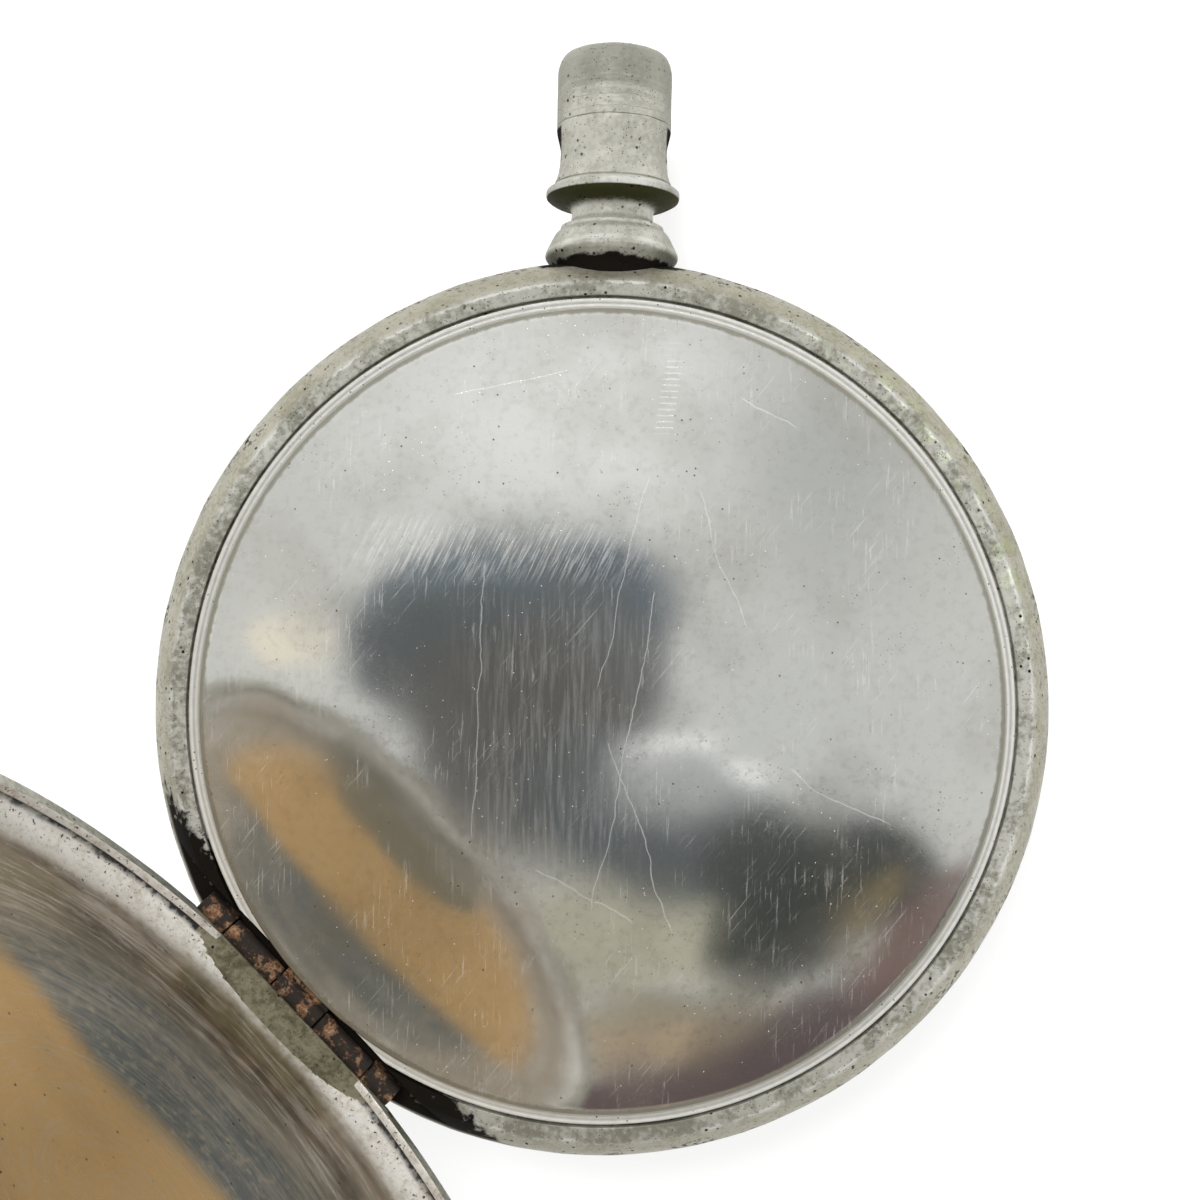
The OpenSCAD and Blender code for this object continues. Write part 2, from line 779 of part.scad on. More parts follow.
// a spade hand lying along +X in the plane z = 0, bored for its post
module hand(l, hub, bore, w) {
    linear_extrude(hand_t) difference() {
        union() {
            circle(hub);
            polygon([[0, -w / 2], [l * 0.62, -w * 0.3], [l * 0.62, w * 0.3], [0, w / 2]]);
            translate([l * 0.66, 0]) circle(w * 0.95);
            polygon([[l * 0.62, -w * 0.85], [l, 0], [l * 0.62, w * 0.85]]);
        }
        circle(bore);
    }
}

module hour_hand() {
    color("midnightblue") translate([0, 0, hour_hand_z]) rotate([0, 0, 150])
        hand(hour_hand_l, 2.1, hour_tube_r, 1.3);
}

module minute_hand() {
    color("midnightblue") translate([0, 0, minute_hand_z]) rotate([0, 0, -60])
        hand(minute_hand_l, 1.6, cannon_r, 1);
}

module seconds_hand() {
    color("midnightblue") translate([fourth_pos[0], fourth_pos[1], seconds_hand_z])
        linear_extrude(hand_t) difference() {
            union() {
                circle(0.5);
                translate([-1.6, -0.1]) square([1.6 + seconds_hand_l, 0.2]);
            }
            circle(0.2);
        }
}

cannon_t = 0.45;
cannon_z = plate_z - cannon_t - fit_clear;
module cannon_pinion() {
    color("slategray") difference() {
        union() {
            translate([0, 0, cannon_z]) linear_extrude(cannon_t) teeth_2d(cannon_leaves, motion_module);
            translate([0, 0, minute_hand_z]) cylinder(r = cannon_r, h = cannon_z - minute_hand_z + eps);
        }
        translate([0, 0, minute_hand_z - over])
            cylinder(r = centre_arbor_r, h = cannon_z + cannon_t - minute_hand_z + 2 * over);
    }
}

minute_wheel_t = 0.2;
minute_wheel_z = plate_z - minute_wheel_t - 0.15;
hour_wheel_t = 0.25;
hour_wheel_z = dial_z + dial_t + 0.1;
minute_post_r = 0.4;
module minute_wheel() {
    color("goldenrod") translate([minute_pos[0], minute_pos[1], 0]) difference() {
        union() {
            translate([0, 0, minute_wheel_z]) rotate([0, 0, minute_phase])
                linear_extrude(minute_wheel_t) teeth_2d(minute_teeth, motion_module);
            translate([0, 0, hour_wheel_z]) rotate([0, 0, minute_phase])
                linear_extrude(minute_wheel_z - hour_wheel_z + eps) teeth_2d(minute_leaves, hour_module);
        }
        translate([0, 0, hour_wheel_z - over])
            cylinder(r = minute_post_r + run_clear, h = minute_wheel_z + minute_wheel_t - hour_wheel_z + 2 * over);
    }
}

module hour_wheel() {
    color("goldenrod") difference() {
        union() {
            translate([0, 0, hour_wheel_z]) rotate([0, 0, hour_phase])
                linear_extrude(hour_wheel_t) teeth_2d(hour_teeth, hour_module);
            translate([0, 0, hour_hand_z]) cylinder(r = hour_tube_r, h = hour_wheel_z - hour_hand_z + eps);
        }
        translate([0, 0, hour_hand_z - over])
            cylinder(r = cannon_r + run_clear, h = hour_wheel_z + hour_wheel_t - hour_hand_z + 2 * over);
    }
}

setting_top = top_face + 1.3;
module setting_arbor() {
    color("lightslategray") {
        translate([0, 0, minute_hand_z - 0.1])
            cylinder(r = centre_arbor_r, h = top_face + 0.2 - minute_hand_z + 0.1);
        translate([-square_w / 2, -square_w / 2, top_face + 0.1])
            cube([square_w, square_w, setting_top - top_face - 0.1]);
    }
}

// ---- plates ----

pillar_angles = [60, 150, 205, 325];
pillar_a = movement_r - pillar_in;
case_screw_angles = [115, 300];
case_screw_in = 0.8;
case_screw_r = 0.4;
case_screw_l = 0.7;
dial_foot_angles = [30, 150, 275];
dial_foot_in = 3;
dial_foot_r = 0.4;
plate_screw_r = 0.45;
staff_pos = [fourth_pos, escape_pos, third_pos];
centre_tube_r = 0.85;

module at(p, z) {
    translate([p[0], p[1], z]) children();
}

module mainplate() {
    color("goldenrod") difference() {
        union() {
            translate([0, 0, plate_z]) cylinder(r = movement_r, h = plate_t);
            translate([0, 0, plate_z]) cylinder(r = case_bore_r - 0.15, h = flange_t);
            at(minute_pos, hour_wheel_z) cylinder(r = minute_post_r, h = plate_z - hour_wheel_z + eps);
        }
        translate([0, 0, plate_z - over]) cylinder(r = centre_tube_r + run_clear, h = plate_t + 2 * over);
        for (p = staff_pos) at(p, plate_z - 0.1) cylinder(r = jewel_r, h = plate_t + 1);
        for (p = [pallet_pos, balance_pos]) at(p, plate_z - 0.1) cylinder(r = jewel_r, h = plate_t + 1);
        at(barrel_pos, plate_z - over) cylinder(r = barrel_hub_r + run_clear, h = plate_t + 2 * over);
        for (a = dial_foot_angles) at(polar(a, dial_r - dial_foot_in), plate_z - over)
            cylinder(r = dial_foot_r + fit_clear, h = plate_t / 2 + over + 0.1);
        for (a = pillar_angles) at(polar(a, pillar_a), plate_z - over) cylinder(r = plate_screw_r, h = plate_t + 2 * over);
        for (a = case_screw_angles) at(polar(a, movement_r - case_screw_in), plate_top - case_screw_l)
            cylinder(r = case_screw_r, h = case_screw_l + over);
    }
}

module balance_window_2d() {
    translate(balance_pos) circle(balance_r + balance_clear);
    translate(balance_pos) rotate(heading([0, 0], balance_pos)) translate([0, -cock_w / 2 - 0.2])
        square([movement_r, cock_w + 0.4]);
}

module top_plate() {
    color("gold") translate([0, 0, top_z]) linear_extrude(top_t) difference() {
        circle(movement_r - 0.2);
        balance_window_2d();
        circle(centre_tube_r + run_clear);
        for (p = staff_pos) translate(p) circle(jewel_r);
        translate(barrel_pos) circle(barrel_hub_r + run_clear);
        for (a = pillar_angles) translate(polar(a, pillar_a)) circle(plate_screw_r);
        translate(click_pos) circle(click_post_r);
        translate(click_foot) circle(click_post_r);
    }
}

module pillars() {
    color("goldenrod") for (a = pillar_angles) at(polar(a, pillar_a), plate_top)
        tube(pillar_r, plate_screw_r, train_space);
}

module plate_screws() {
    color("steelblue") for (a = pillar_angles) at(polar(a, pillar_a), top_face)
        screw(0.85, 0.4, plate_screw_r, top_face - plate_z);
}

module case_screws() {
    color("steelblue") for (a = case_screw_angles) at(polar(a, movement_r - case_screw_in), plate_top)
        screw(1.4, 0.45, case_screw_r, case_screw_l);
}

// ---- barrel ----

module barrel() {
    color("khaki") at(barrel_pos, barrel_z) difference() {
        union() {
            rotate([0, 0, barrel_phase]) linear_extrude(barrel_flange) teeth_2d(barrel_teeth, barrel_module);
            cylinder(r = barrel_rim_r, h = barrel_h);
        }
        translate([0, 0, 0.3]) cylinder(r = barrel_rim_r - barrel_wall, h = barrel_h);
        translate([0, 0, -over]) cylinder(r = barrel_hub_r + run_clear, h = barrel_h + 2 * over);
    }
}

module barrel_cover() {
    color("khaki") at(barrel_pos, barrel_z + barrel_h - cover_t)
        tube(barrel_rim_r - barrel_wall - eps, barrel_hub_r + run_clear, cover_t);
}

core_r = 2;
module barrel_arbor() {
    core_z = barrel_z + 0.35;
    core_h = barrel_h - cover_t - 0.4;
    color("lightslategray") at(barrel_pos, 0) {
        translate([0, 0, plate_z + 0.1]) cylinder(r = barrel_hub_r, h = top_face - plate_z - 0.1);
        translate([0, 0, core_z]) cylinder(r = core_r, h = core_h);
        translate([-square_w / 2, -square_w / 2, top_face - eps])
            cube([square_w, square_w, setting_top - top_face]);
    }
}

// a flat spiral strip as one outline: out along its outer side and back along its inner
function spiral_points(r0, r1, turns, steps, w) = let (n = turns * steps) concat(
    [for (i = [0 : n]) polar(i * tau / steps, r0 + (r1 - r0) * i / n + w / 2)],
    [for (i = [n : -1 : 0]) polar(i * tau / steps, r0 + (r1 - r0) * i / n - w / 2)]);
function spiral_gap(r0, r1, turns, w) = (r1 - r0) / turns - w;

mainspring_r = barrel_rim_r - barrel_wall - 0.2;
mainspring_turns = 7;
mainspring_w = 0.2;
module mainspring() {
    color("steelblue") at(barrel_pos, barrel_z + 0.4) linear_extrude(barrel_h - cover_t - 0.5)
        polygon(spiral_points(core_r + 0.2, mainspring_r, mainspring_turns, 24, mainspring_w));
}

// ---- winding work ----

ratchet_tip = ratchet_r;
click_post_r = 0.35;
click_pos = barrel_pos + polar(100, ratchet_r + 1.9);
click_foot = barrel_pos + polar(150, ratchet_r + 3.4);

function ratchet_points() = [for (i = [0 : ratchet_teeth - 1], k = [[0, 0], [0.12, -0.42], [0.9, -0.05]])
    polar((i + k[0]) * tau / ratchet_teeth, ratchet_tip + k[1])];

module ratchet_wheel() {
    color("silver") at(barrel_pos, ratchet_z) linear_extrude(ratchet_t) difference() {
        polygon(ratchet_points());
        square(square_w + 0.02, center = true);
    }
}

// the click turns on its post; its beak points at the ratchet and rests just clear of it
module click() {
    beak = heading(click_pos, barrel_pos) + 40;
    color("steelblue") at(click_pos, ratchet_z) linear_extrude(ratchet_t) difference() {
        union() {
            circle(1);
            rotate(beak) polygon([[0, -1], [2.5, -0.35], [2.5, 0], [0, 1]]);
        }
        circle(click_post_r + run_clear);
    }
}

module click_spring() {
    foot = click_foot;
    reach = heading(click_foot, click_pos);
    gap = norm(click_pos - click_foot);
    color("steelblue") at(foot, ratchet_z) rotate([0, 0, reach]) linear_extrude(ratchet_t) {
        difference() {
            circle(0.9);
            circle(click_post_r);
        }
        translate([0.3, -0.85]) square([gap - 1.4, 0.2]);
    }
}

module winding_screws() {
    color("slategray") for (p = [click_pos, click_foot]) at(p, ratchet_z + ratchet_t)
        screw(0.75, 0.3, click_post_r, ratchet_z + ratchet_t - top_z);
}

// ---- train ----

module centre_wheel() {
    color("gold") translate([0, 0, centre_wheel_z]) rotate([0, 0, centre_phase])
        wheel(centre_teeth, centre_module, wheel_t, centre_tube_r + 0.1, 5, 0.6, 1.6, 0.5);
}

module centre_pinion() {
    color("silver") difference() {
        union() {
            translate([0, 0, plate_top + 0.1]) rotate([0, 0, centre_phase])
                linear_extrude(1) teeth_2d(centre_leaves, barrel_module, 0.8, 1.15);
            translate([0, 0, plate_z + 0.1]) cylinder(r = centre_tube_r, h = top_face - plate_z - 0.1);
            translate([0, 0, centre_wheel_z]) cylinder(r = centre_tube_r + 0.1 - eps, h = wheel_t);
        }
        translate([0, 0, plate_z - over]) cylinder(r = centre_arbor_r + run_clear, h = top_face - plate_z + 2 * over);
    }
}

module third_wheel() {
    color("gold") at(third_pos, third_wheel_z) rotate([0, 0, third_phase])
        wheel(third_teeth, third_module, wheel_t, arbor_r + eps);
}

module third_pinion() {
    color("silver") at(third_pos, 0) rotate([0, 0, third_phase])
        pinion(train_leaves, centre_module, centre_wheel_z - 0.12, wheel_t + 0.24,
            plate_top + 0.15, top_z - 0.15);
}

module fourth_wheel() {
    color("gold") at(fourth_pos, fourth_wheel_z) rotate([0, 0, fourth_phase])
        wheel(fourth_teeth, fourth_module, wheel_t, arbor_r + eps, 5, 0.5, 0.9, 0.4);
}

// the fourth arbor's long front pivot carries the seconds hand
module fourth_pinion() {
    color("silver") at(fourth_pos, 0) rotate([0, 0, fourth_phase]) {
        pinion(train_leaves, third_module, third_wheel_z - 0.12, wheel_t + 0.24,
            plate_top + 0.15, top_z - 0.15);
        translate([0, 0, seconds_hand_z]) cylinder(r = 0.18, h = plate_top + 0.15 - seconds_hand_z);
    }
}

function escape_points() = [for (i = [0 : escape_teeth - 1],
    k = [[0, 0], [0.14, -0.05], [0.34, -1.05], [0.9, -1.15]])
    polar((i + k[0]) * tau / escape_teeth, escape_r + k[1])];

module escape_wheel() {
    color("gold") at(escape_pos, escape_wheel_z) linear_extrude(wheel_t) difference() {
        polygon(escape_points());
        for (i = [0 : 3]) rotate(45 + i * 90) translate([escape_r * 0.43, 0]) circle(escape_r * 0.17);
        circle(arbor_r + eps);
    }
}

module escape_pinion() {
    color("silver") at(escape_pos, 0) rotate([0, 0, escape_phase])
        pinion(escape_leaves, fourth_module, fourth_wheel_z - 0.12, wheel_t + 0.24,
            plate_top + 0.15, top_z - 0.15);
}

// ---- escapement ----

pallet_reach = escape_r * 0.6;
pallet_spread = 108;
pallet_arm_w = 0.44;
stone_w = 0.3;
stone_l = 0.45;
module pallet_fork() {
    color("silver") at(pallet_pos, 0) {
        translate([0, 0, escape_wheel_z]) linear_extrude(wheel_t) rotate(lever_angle) difference() {
            union() {
                circle(0.6);
                for (s = [-1, 1]) rotate(s * pallet_spread) translate([0, -pallet_arm_w / 2])
                    square([pallet_reach, pallet_arm_w]);
                translate([0, -0.22]) square([fork_l - 0.3, 0.44]);
                translate([fork_l - 0.6, -0.42]) square([0.6 + 0.1, 0.84]);
            }
            translate([fork_l - 0.25, -0.17]) square([1, 0.34]);
        }
        translate([0, 0, plate_top + 0.15]) cylinder(r = arbor_r, h = bridge_z - plate_top - 0.3);
        translate([0, 0, plate_top - 0.5]) cylinder(r = pivot_r, h = bridge_z + bridge_t - plate_top + 0.3);
    }
}

module pallet_stones() {
    color("crimson") at(pallet_pos, escape_wheel_z) rotate([0, 0, lever_angle])
        for (s = [-1, 1]) rotate([0, 0, s * pallet_spread]) translate([pallet_reach, -stone_w / 2, 0])
            cube([stone_l, stone_w, wheel_t]);
}

bridge_z = fourth_wheel_z + 0.1;
bridge_t = 0.45;
bridge_half = 3.6;
module pallet_bridge() {
    color("goldenrod") at(pallet_pos, 0) rotate([0, 0, lever_angle]) difference() {
        union() {
            translate([-0.8, -bridge_half, bridge_z]) cube([1.6, 2 * bridge_half, bridge_t]);
            for (s = [-1, 1]) translate([0, s * bridge_half, plate_top])
                cylinder(r = 0.8, h = bridge_z + bridge_t - plate_top);
        }
        translate([0, 0, bridge_z - over]) cylinder(r = pivot_r + pivot_clear, h = bridge_t + 2 * over);
    }
}

staff_r = 0.35;
roller_t = 0.3;
module balance_wheel() {
    color("gold") at(balance_pos, balance_z) linear_extrude(balance_h) difference() {
        union() {
            difference() {
                circle(balance_r);
                circle(balance_r - balance_rim);
            }
            rotate(lever_angle) translate([-balance_r + 0.3, -0.5]) square([2 * balance_r - 0.6, 1]);
            circle(1.1);
        }
        circle(staff_r + eps);
        for (s = [0, 180]) rotate(lever_angle + 14 + s) translate([balance_r - balance_rim - 0.5, -0.1])
            square([2, 0.2]);
    }
}

module balance_screws() {
    color("khaki") at(balance_pos, balance_z + balance_h / 2) for (i = [0 : 11])
        rotate([0, 0, lever_angle + 30 + i * 30]) translate([balance_r, 0, 0]) rotate([0, 90, 0])
            cylinder(r = 0.3, h = balance_screw_l);
}

module balance_staff() {
    color("silver") at(balance_pos, 0) {
        translate([0, 0, plate_top + 0.15]) cylinder(r = staff_r, h = cock_z - plate_top - 0.35);
        translate([0, 0, plate_top - 0.5]) cylinder(r = pivot_r, h = cock_z + cock_t - plate_top + 0.3);
    }
}

module roller() {
    color("crimson") at(balance_pos, roller_z) rotate([0, 0, lever_angle + 180]) {
        tube(roller_r + 0.32, staff_r + eps, roller_t);
        translate([roller_r, 0, -0.42]) cylinder(r = 0.12, h = 0.42 + eps);
    }
}

hairspring_r = 3.5;
hairspring_w = 0.08;
hairspring_turns = 5;
hairspring_in = 0.85;
hairspring_pitch_gap = spiral_gap(hairspring_in, hairspring_r, hairspring_turns, hairspring_w);
echo(least_gap_in_hairspring = hairspring_pitch_gap);
module hairspring() {
    color("steelblue") at(balance_pos, hairspring_z) linear_extrude(0.2) {
        polygon(spiral_points(hairspring_in, hairspring_r, hairspring_turns, 24, hairspring_w));
        difference() {
            circle(hairspring_in + hairspring_w / 2);
            circle(staff_r + eps);
        }
    }
}

cock_w = 6;
cock_dir = heading([0, 0], balance_pos);
cock_screw_a = cock_foot_a - 0.85;
cock_head_r = 0.7;
cock_head_h = 0.35;
module balance_cock() {
    color("gold") difference() {
        union() {
            translate([0, 0, cock_z]) linear_extrude(cock_t) {
                translate(balance_pos) circle(2.3);
                intersection() {
                    circle(cock_foot_a);
                    rotate(cock_dir) translate([norm(balance_pos), -1.3]) square([movement_r, 2.6]);
                }
                cock_foot_2d();
            }
            translate([0, 0, plate_top]) linear_extrude(cock_z - plate_top + eps) cock_foot_2d();
        }
        at(balance_pos, cock_z - over) cylinder(r = jewel_r, h = cock_t + 2 * over);
        rotate([0, 0, cock_dir]) translate([cock_screw_a, 0, plate_top - over])
            cylinder(r = plate_screw_r, h = cock_z + cock_t);
        rotate([0, 0, cock_dir]) translate([cock_screw_a, 0, cock_z + cock_t - cock_head_h])
            cylinder(r = cock_head_r + run_clear, h = cock_head_h + over);
    }
}

module cock_foot_2d() {
    difference() {
        intersection() {
            circle(cock_foot_a);
            rotate(cock_dir) translate([norm(balance_pos), -cock_w / 2]) square([movement_r, cock_w]);
        }
        translate(balance_pos) circle(balance_r + balance_screw_l + balance_gap);
    }
}

module cock_screw() {
    color("steelblue") rotate([0, 0, cock_dir]) translate([cock_screw_a, 0, cock_z + cock_t - cock_head_h])
        screw(cock_head_r, cock_head_h, plate_screw_r, cock_z + cock_t - cock_head_h - plate_top);
}

regulator_l = 5.5;
module regulator() {
    color("silver") at(balance_pos, cock_z + cock_t) rotate([0, 0, cock_dir + 180]) linear_extrude(0.25) difference() {
        union() {
            circle(1.5);
            polygon([[0, -1.2], [regulator_l, -0.2], [regulator_l, 0.2], [0, 1.2]]);
        }
        circle(jewel_r + 0.15);
    }
}

module jewel_ring() {
    difference() {
        cylinder(r = jewel_r - eps, h = jewel_t);
        translate([0, 0, -eps]) cylinder(r = pivot_r + pivot_clear, h = jewel_t + 2 * eps);
    }
}

module jewels() {
    color("crimson") {
        for (p = concat([escape_pos, third_pos], [pallet_pos, balance_pos]))
            at(p, plate_top - jewel_t) jewel_ring();
        for (p = [fourth_pos]) at(p, plate_top - jewel_t) difference() {
            cylinder(r = jewel_r - eps, h = jewel_t);
            translate([0, 0, -eps]) cylinder(r = 0.18 + pivot_clear, h = jewel_t + 2 * eps);
        }
        for (p = staff_pos) at(p, top_z) jewel_ring();
        at(balance_pos, cock_z) jewel_ring();
    }
}

case_centre();
pendant();
push_piece();
lock_spring();
lift_spring();
spring_screws();
back_lid();
back_lid_knuckles();
back_case_knuckles();
back_joint_pin();
cuvette();
cuvette_knuckle();
front_lid();
front_lid_knuckles();
front_case_knuckles();
front_joint_pin();
bezel();
crystal();
dial();
hour_hand();
minute_hand();
seconds_hand();
cannon_pinion();
minute_wheel();
hour_wheel();
setting_arbor();
mainplate();
top_plate();
pillars();
plate_screws();
case_screws();
barrel();
barrel_cover();
barrel_arbor();
mainspring();
ratchet_wheel();
click();
click_spring();
winding_screws();
centre_wheel();
centre_pinion();
third_wheel();
third_pinion();
fourth_wheel();
fourth_pinion();
escape_wheel();
escape_pinion();
pallet_fork();
pallet_stones();
pallet_bridge();
balance_wheel();
balance_screws();
balance_staff();
roller();
hairspring();
balance_cock();
regulator();
cock_screw();
jewels();
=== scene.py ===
"""A worn key-wound hunter pocket watch on its front lid, back lid open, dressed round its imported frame."""
import json
import logging
import math
import random
from dataclasses import dataclass, field
from enum import Enum
from typing import Sequence

import bmesh
import bpy
from mathutils import Matrix, Vector, noise


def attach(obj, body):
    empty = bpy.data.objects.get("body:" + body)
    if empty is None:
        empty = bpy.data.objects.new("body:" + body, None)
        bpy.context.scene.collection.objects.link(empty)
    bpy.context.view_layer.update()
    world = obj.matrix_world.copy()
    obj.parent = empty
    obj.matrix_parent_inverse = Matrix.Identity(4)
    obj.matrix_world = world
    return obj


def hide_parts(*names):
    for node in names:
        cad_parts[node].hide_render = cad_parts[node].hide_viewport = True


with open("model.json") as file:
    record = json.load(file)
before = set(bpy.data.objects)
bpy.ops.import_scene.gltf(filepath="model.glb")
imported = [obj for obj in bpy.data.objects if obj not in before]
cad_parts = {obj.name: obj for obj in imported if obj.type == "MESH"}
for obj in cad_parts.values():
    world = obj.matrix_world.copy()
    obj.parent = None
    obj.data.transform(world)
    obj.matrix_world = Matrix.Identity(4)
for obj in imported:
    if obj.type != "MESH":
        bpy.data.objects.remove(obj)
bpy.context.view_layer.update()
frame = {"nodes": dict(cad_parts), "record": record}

log = logging.getLogger("hunter_watch")

MM = 0.001
TURN = 2 * math.pi
Point = tuple[float, float]
Piece = bpy.types.Object
Material = bpy.types.Material
Socket = bpy.types.NodeSocket


# ---------------------------------------------------------------- shader maths


class Value:
    """A number that varies over a surface; Python's arithmetic on it adds Math nodes."""

    def __init__(self, net: "Net", socket: Socket) -> None:
        """Wraps one output socket."""
        self.net = net
        self.socket = socket

    def _math(self, operation: str, *others: "Value | float") -> "Value":
        """Adds one Math node with this value first.

        Args:
            operation: The Math node's operation.
            others: The other inputs, in order.

        Returns:
            The node's result.
        """
        inputs = {i + 1: other for i, other in enumerate(others)}
        made = self.net.add("ShaderNodeMath", {"operation": operation}, {0: self, **inputs})
        return Value(self.net, made.outputs[0])

    def __add__(self, other: "Value | float") -> "Value":
        """This value plus another."""
        return self._math("ADD", other)

    def __mul__(self, other: "Value | float") -> "Value":
        """This value times another."""
        return self._math("MULTIPLY", other)

    def __sub__(self, other: "Value | float") -> "Value":
        """This value less another."""
        return self._math("SUBTRACT", other)

    def __rsub__(self, other: float) -> "Value":
        """Another number less this value."""
        return (self * -1.0) + other

    def __truediv__(self, other: "Value | float") -> "Value":
        """This value over another."""
        return self._math("DIVIDE", other)

    def sine(self) -> "Value":
        """The sine of this value, in radians."""
        return self._math("SINE")

    def larger(self, other: "Value | float") -> "Value":
        """The larger of this value and another."""
        return self._math("MAXIMUM", other)

    def root(self) -> "Value":
        """The square root of this value."""
        return self._math("SQRT")

    def size(self) -> "Value":
        """This value without its sign."""
        return self._math("ABSOLUTE")

    def ramp(self, low: float, high: float) -> "Value":
        """A smooth step from 0 at low to 1 at high, or down where low is the larger.

        Args:
            low: Where the result is 0.
            high: Where the result is 1.

        Returns:
            The stepped value.
        """
        ends = (high, low, 1.0, 0.0) if low > high else (low, high, 0.0, 1.0)
        sockets = {0: self, **dict(enumerate(ends, 1))}
        made = self.net.add("ShaderNodeMapRange", {"interpolation_type": "SMOOTHSTEP"}, sockets)
        return Value(self.net, made.outputs[0])


class Net:
    """One node tree and the few ways in which the finishes add to it."""

    def __init__(self, tree: bpy.types.NodeTree) -> None:
        """Clears a tree for use."""
        self.tree = tree
        tree.nodes.clear()

    def add(self, kind: str, settings: dict | None = None, sockets: dict | None = None) -> bpy.types.Node:
        """Adds a node, its settings first and then its sockets.

        Args:
            kind: The node's type.
            settings: Attributes of the node.
            sockets: Values or links by the input's name or number.

        Returns:
            The new node.
        """
        made = self.tree.nodes.new(kind)
        for name, setting in (settings or {}).items():
            setattr(made, name, setting)
        for name, source in (sockets or {}).items():
            target = made.inputs[name]
            source = source.socket if isinstance(source, Value) else source
            if isinstance(source, Socket):
                self.tree.links.new(source, target)
            else:
                target.default_value = source
        return made

    def place(self) -> Socket:
        """The point on the piece, in millimetres in the watch's own frame."""
        coords = self.add("ShaderNodeTexCoord").outputs["Object"]
        scaled = self.add("ShaderNodeVectorMath", {"operation": "SCALE"}, {0: coords, "Scale": 1 / MM})
        return scaled.outputs[0]

    def parts(self, vector: Socket) -> tuple[Value, Value, Value]:
        """The three coordinates of a vector."""
        split = self.add("ShaderNodeSeparateXYZ", None, {0: vector})
        return tuple(Value(self, split.outputs[i]) for i in range(3))

    def stretched(self, vector: Socket, by: Sequence[float]) -> Socket:
        """A vector with each coordinate multiplied."""
        made = self.add("ShaderNodeVectorMath", {"operation": "MULTIPLY"}, {0: vector, 1: tuple(by)})
        return made.outputs[0]

    def vector(self, x: Value, y: Value, z: Value) -> Socket:
        """A vector of three numbers."""
        return self.add("ShaderNodeCombineXYZ", None, {0: x, 1: y, 2: z}).outputs[0]

    def distance(self, x: Value, y: Value) -> Value:
        """How far a point is from the origin."""
        return (x * x + y * y).root()

    def leaning(self, vector: Socket, angle: float) -> Socket:
        """The point turned round Z."""
        sockets = {"Vector": vector, "Angle": math.radians(angle)}
        return self.add("ShaderNodeVectorRotate", {"rotation_type": "Z_AXIS"}, sockets).outputs[0]

    def grain(self, vector: Socket, scale: float, detail: float = 4.0, rough: float = 0.55) -> Value:
        """Cloudy noise.

        Args:
            vector: Where it is read, in millimetres.
            scale: Features per millimetre.
            detail: Octaves.
            rough: Weight of the finer octaves.

        Returns:
            The noise, about 0 to 1 with its middle at 0.5.
        """
        made = self.add(
            "ShaderNodeTexNoise",
            {"noise_dimensions": "3D"},
            {"Vector": vector, "Scale": scale, "Detail": detail, "Roughness": rough},
        )
        return Value(self, made.outputs["Fac"])

    def cells(self, vector: Socket, scale: float, feature: str = "F1") -> Value:
        """Distance to the nearest scattered point, in cells."""
        made = self.add("ShaderNodeTexVoronoi", {"feature": feature}, {"Vector": vector, "Scale": scale})
        return Value(self, made.outputs["Distance"])

    def specks(
        self, vector: Socket, scale: float, size: Point, patch_scale: float, patch: Point, detail: float = 2.0
    ) -> Value:
        """Specks that come and go in patches."""
        patches = self.grain(vector, patch_scale, detail).ramp(*patch)
        return self.cells(vector, scale).ramp(*size) * patches

    def streaks(self, vector: Socket, by: Sequence[float]) -> Value:
        """Noise drawn out into streaks by three factors."""
        return self.grain(self.stretched(vector, by), 1.0, 3.0, 0.7)

    def mix(self, mask: Value, base: object, over: object) -> Socket:
        """One colour over another."""
        made = self.add("ShaderNodeMix", {"data_type": "RGBA"}, {0: mask, 6: rgba(base), 7: rgba(over)})
        return made.outputs[2]

    def bump(self, height: Value, depth_mm: float) -> Socket:
        """A bumped normal."""
        sockets = {"Strength": 1.0, "Distance": depth_mm * MM, "Height": height}
        return self.add("ShaderNodeBump", None, sockets).outputs[0]

    def shader(self, **sockets: object) -> bpy.types.Node:
        """Ends the tree in a Principled shader.

        Args:
            sockets: The shader's inputs, with underscores for spaces.

        Returns:
            The shader's node.
        """
        named = {name.replace("_", " "): source for name, source in sockets.items()}
        body = self.add("ShaderNodeBsdfPrincipled", None, named)
        self.add("ShaderNodeOutputMaterial", None, {"Surface": body.outputs[0]})
        return body


def rgba(colour: object) -> object:
    """A colour with its alpha, or the link unchanged."""
    return (*colour, 1.0) if isinstance(colour, tuple) and len(colour) == 3 else colour


def new_material(name: str) -> tuple[Material, Net]:
    """An empty material and its tree.

    Args:
        name: The material's name.

    Returns:
        The material and its net.
    """
    made = bpy.data.materials.new(name)
    made.use_nodes = True
    return made, Net(made.node_tree)


# ---------------------------------------------------------------- finishes


@dataclass
class Wear:
    """What age has added up to on one surface so far, with the light and shade painted on it: its colour,
    grime, shade and relief.
    """

    net: Net
    at: Socket
    cloud: Value
    fine: Value
    colour: Socket
    grime: Value
    height: Value
    shade: Value | None = None

    def tint(self, mask: Value, colour: tuple) -> None:
        """Lays a colour over what is there."""
        self.colour = self.net.mix(mask, self.colour, colour)

    def blacken(self, mask: Value) -> None:
        """Adds black: grime, and painted shade where the mask lies in gaps and holes."""
        self.grime = self.grime.larger(mask)

    def dull(self, mask: Value) -> None:
        """Adds painted shade, where the metal is also made too dull to mirror."""
        self.shade = mask if self.shade is None else self.shade.larger(mask)


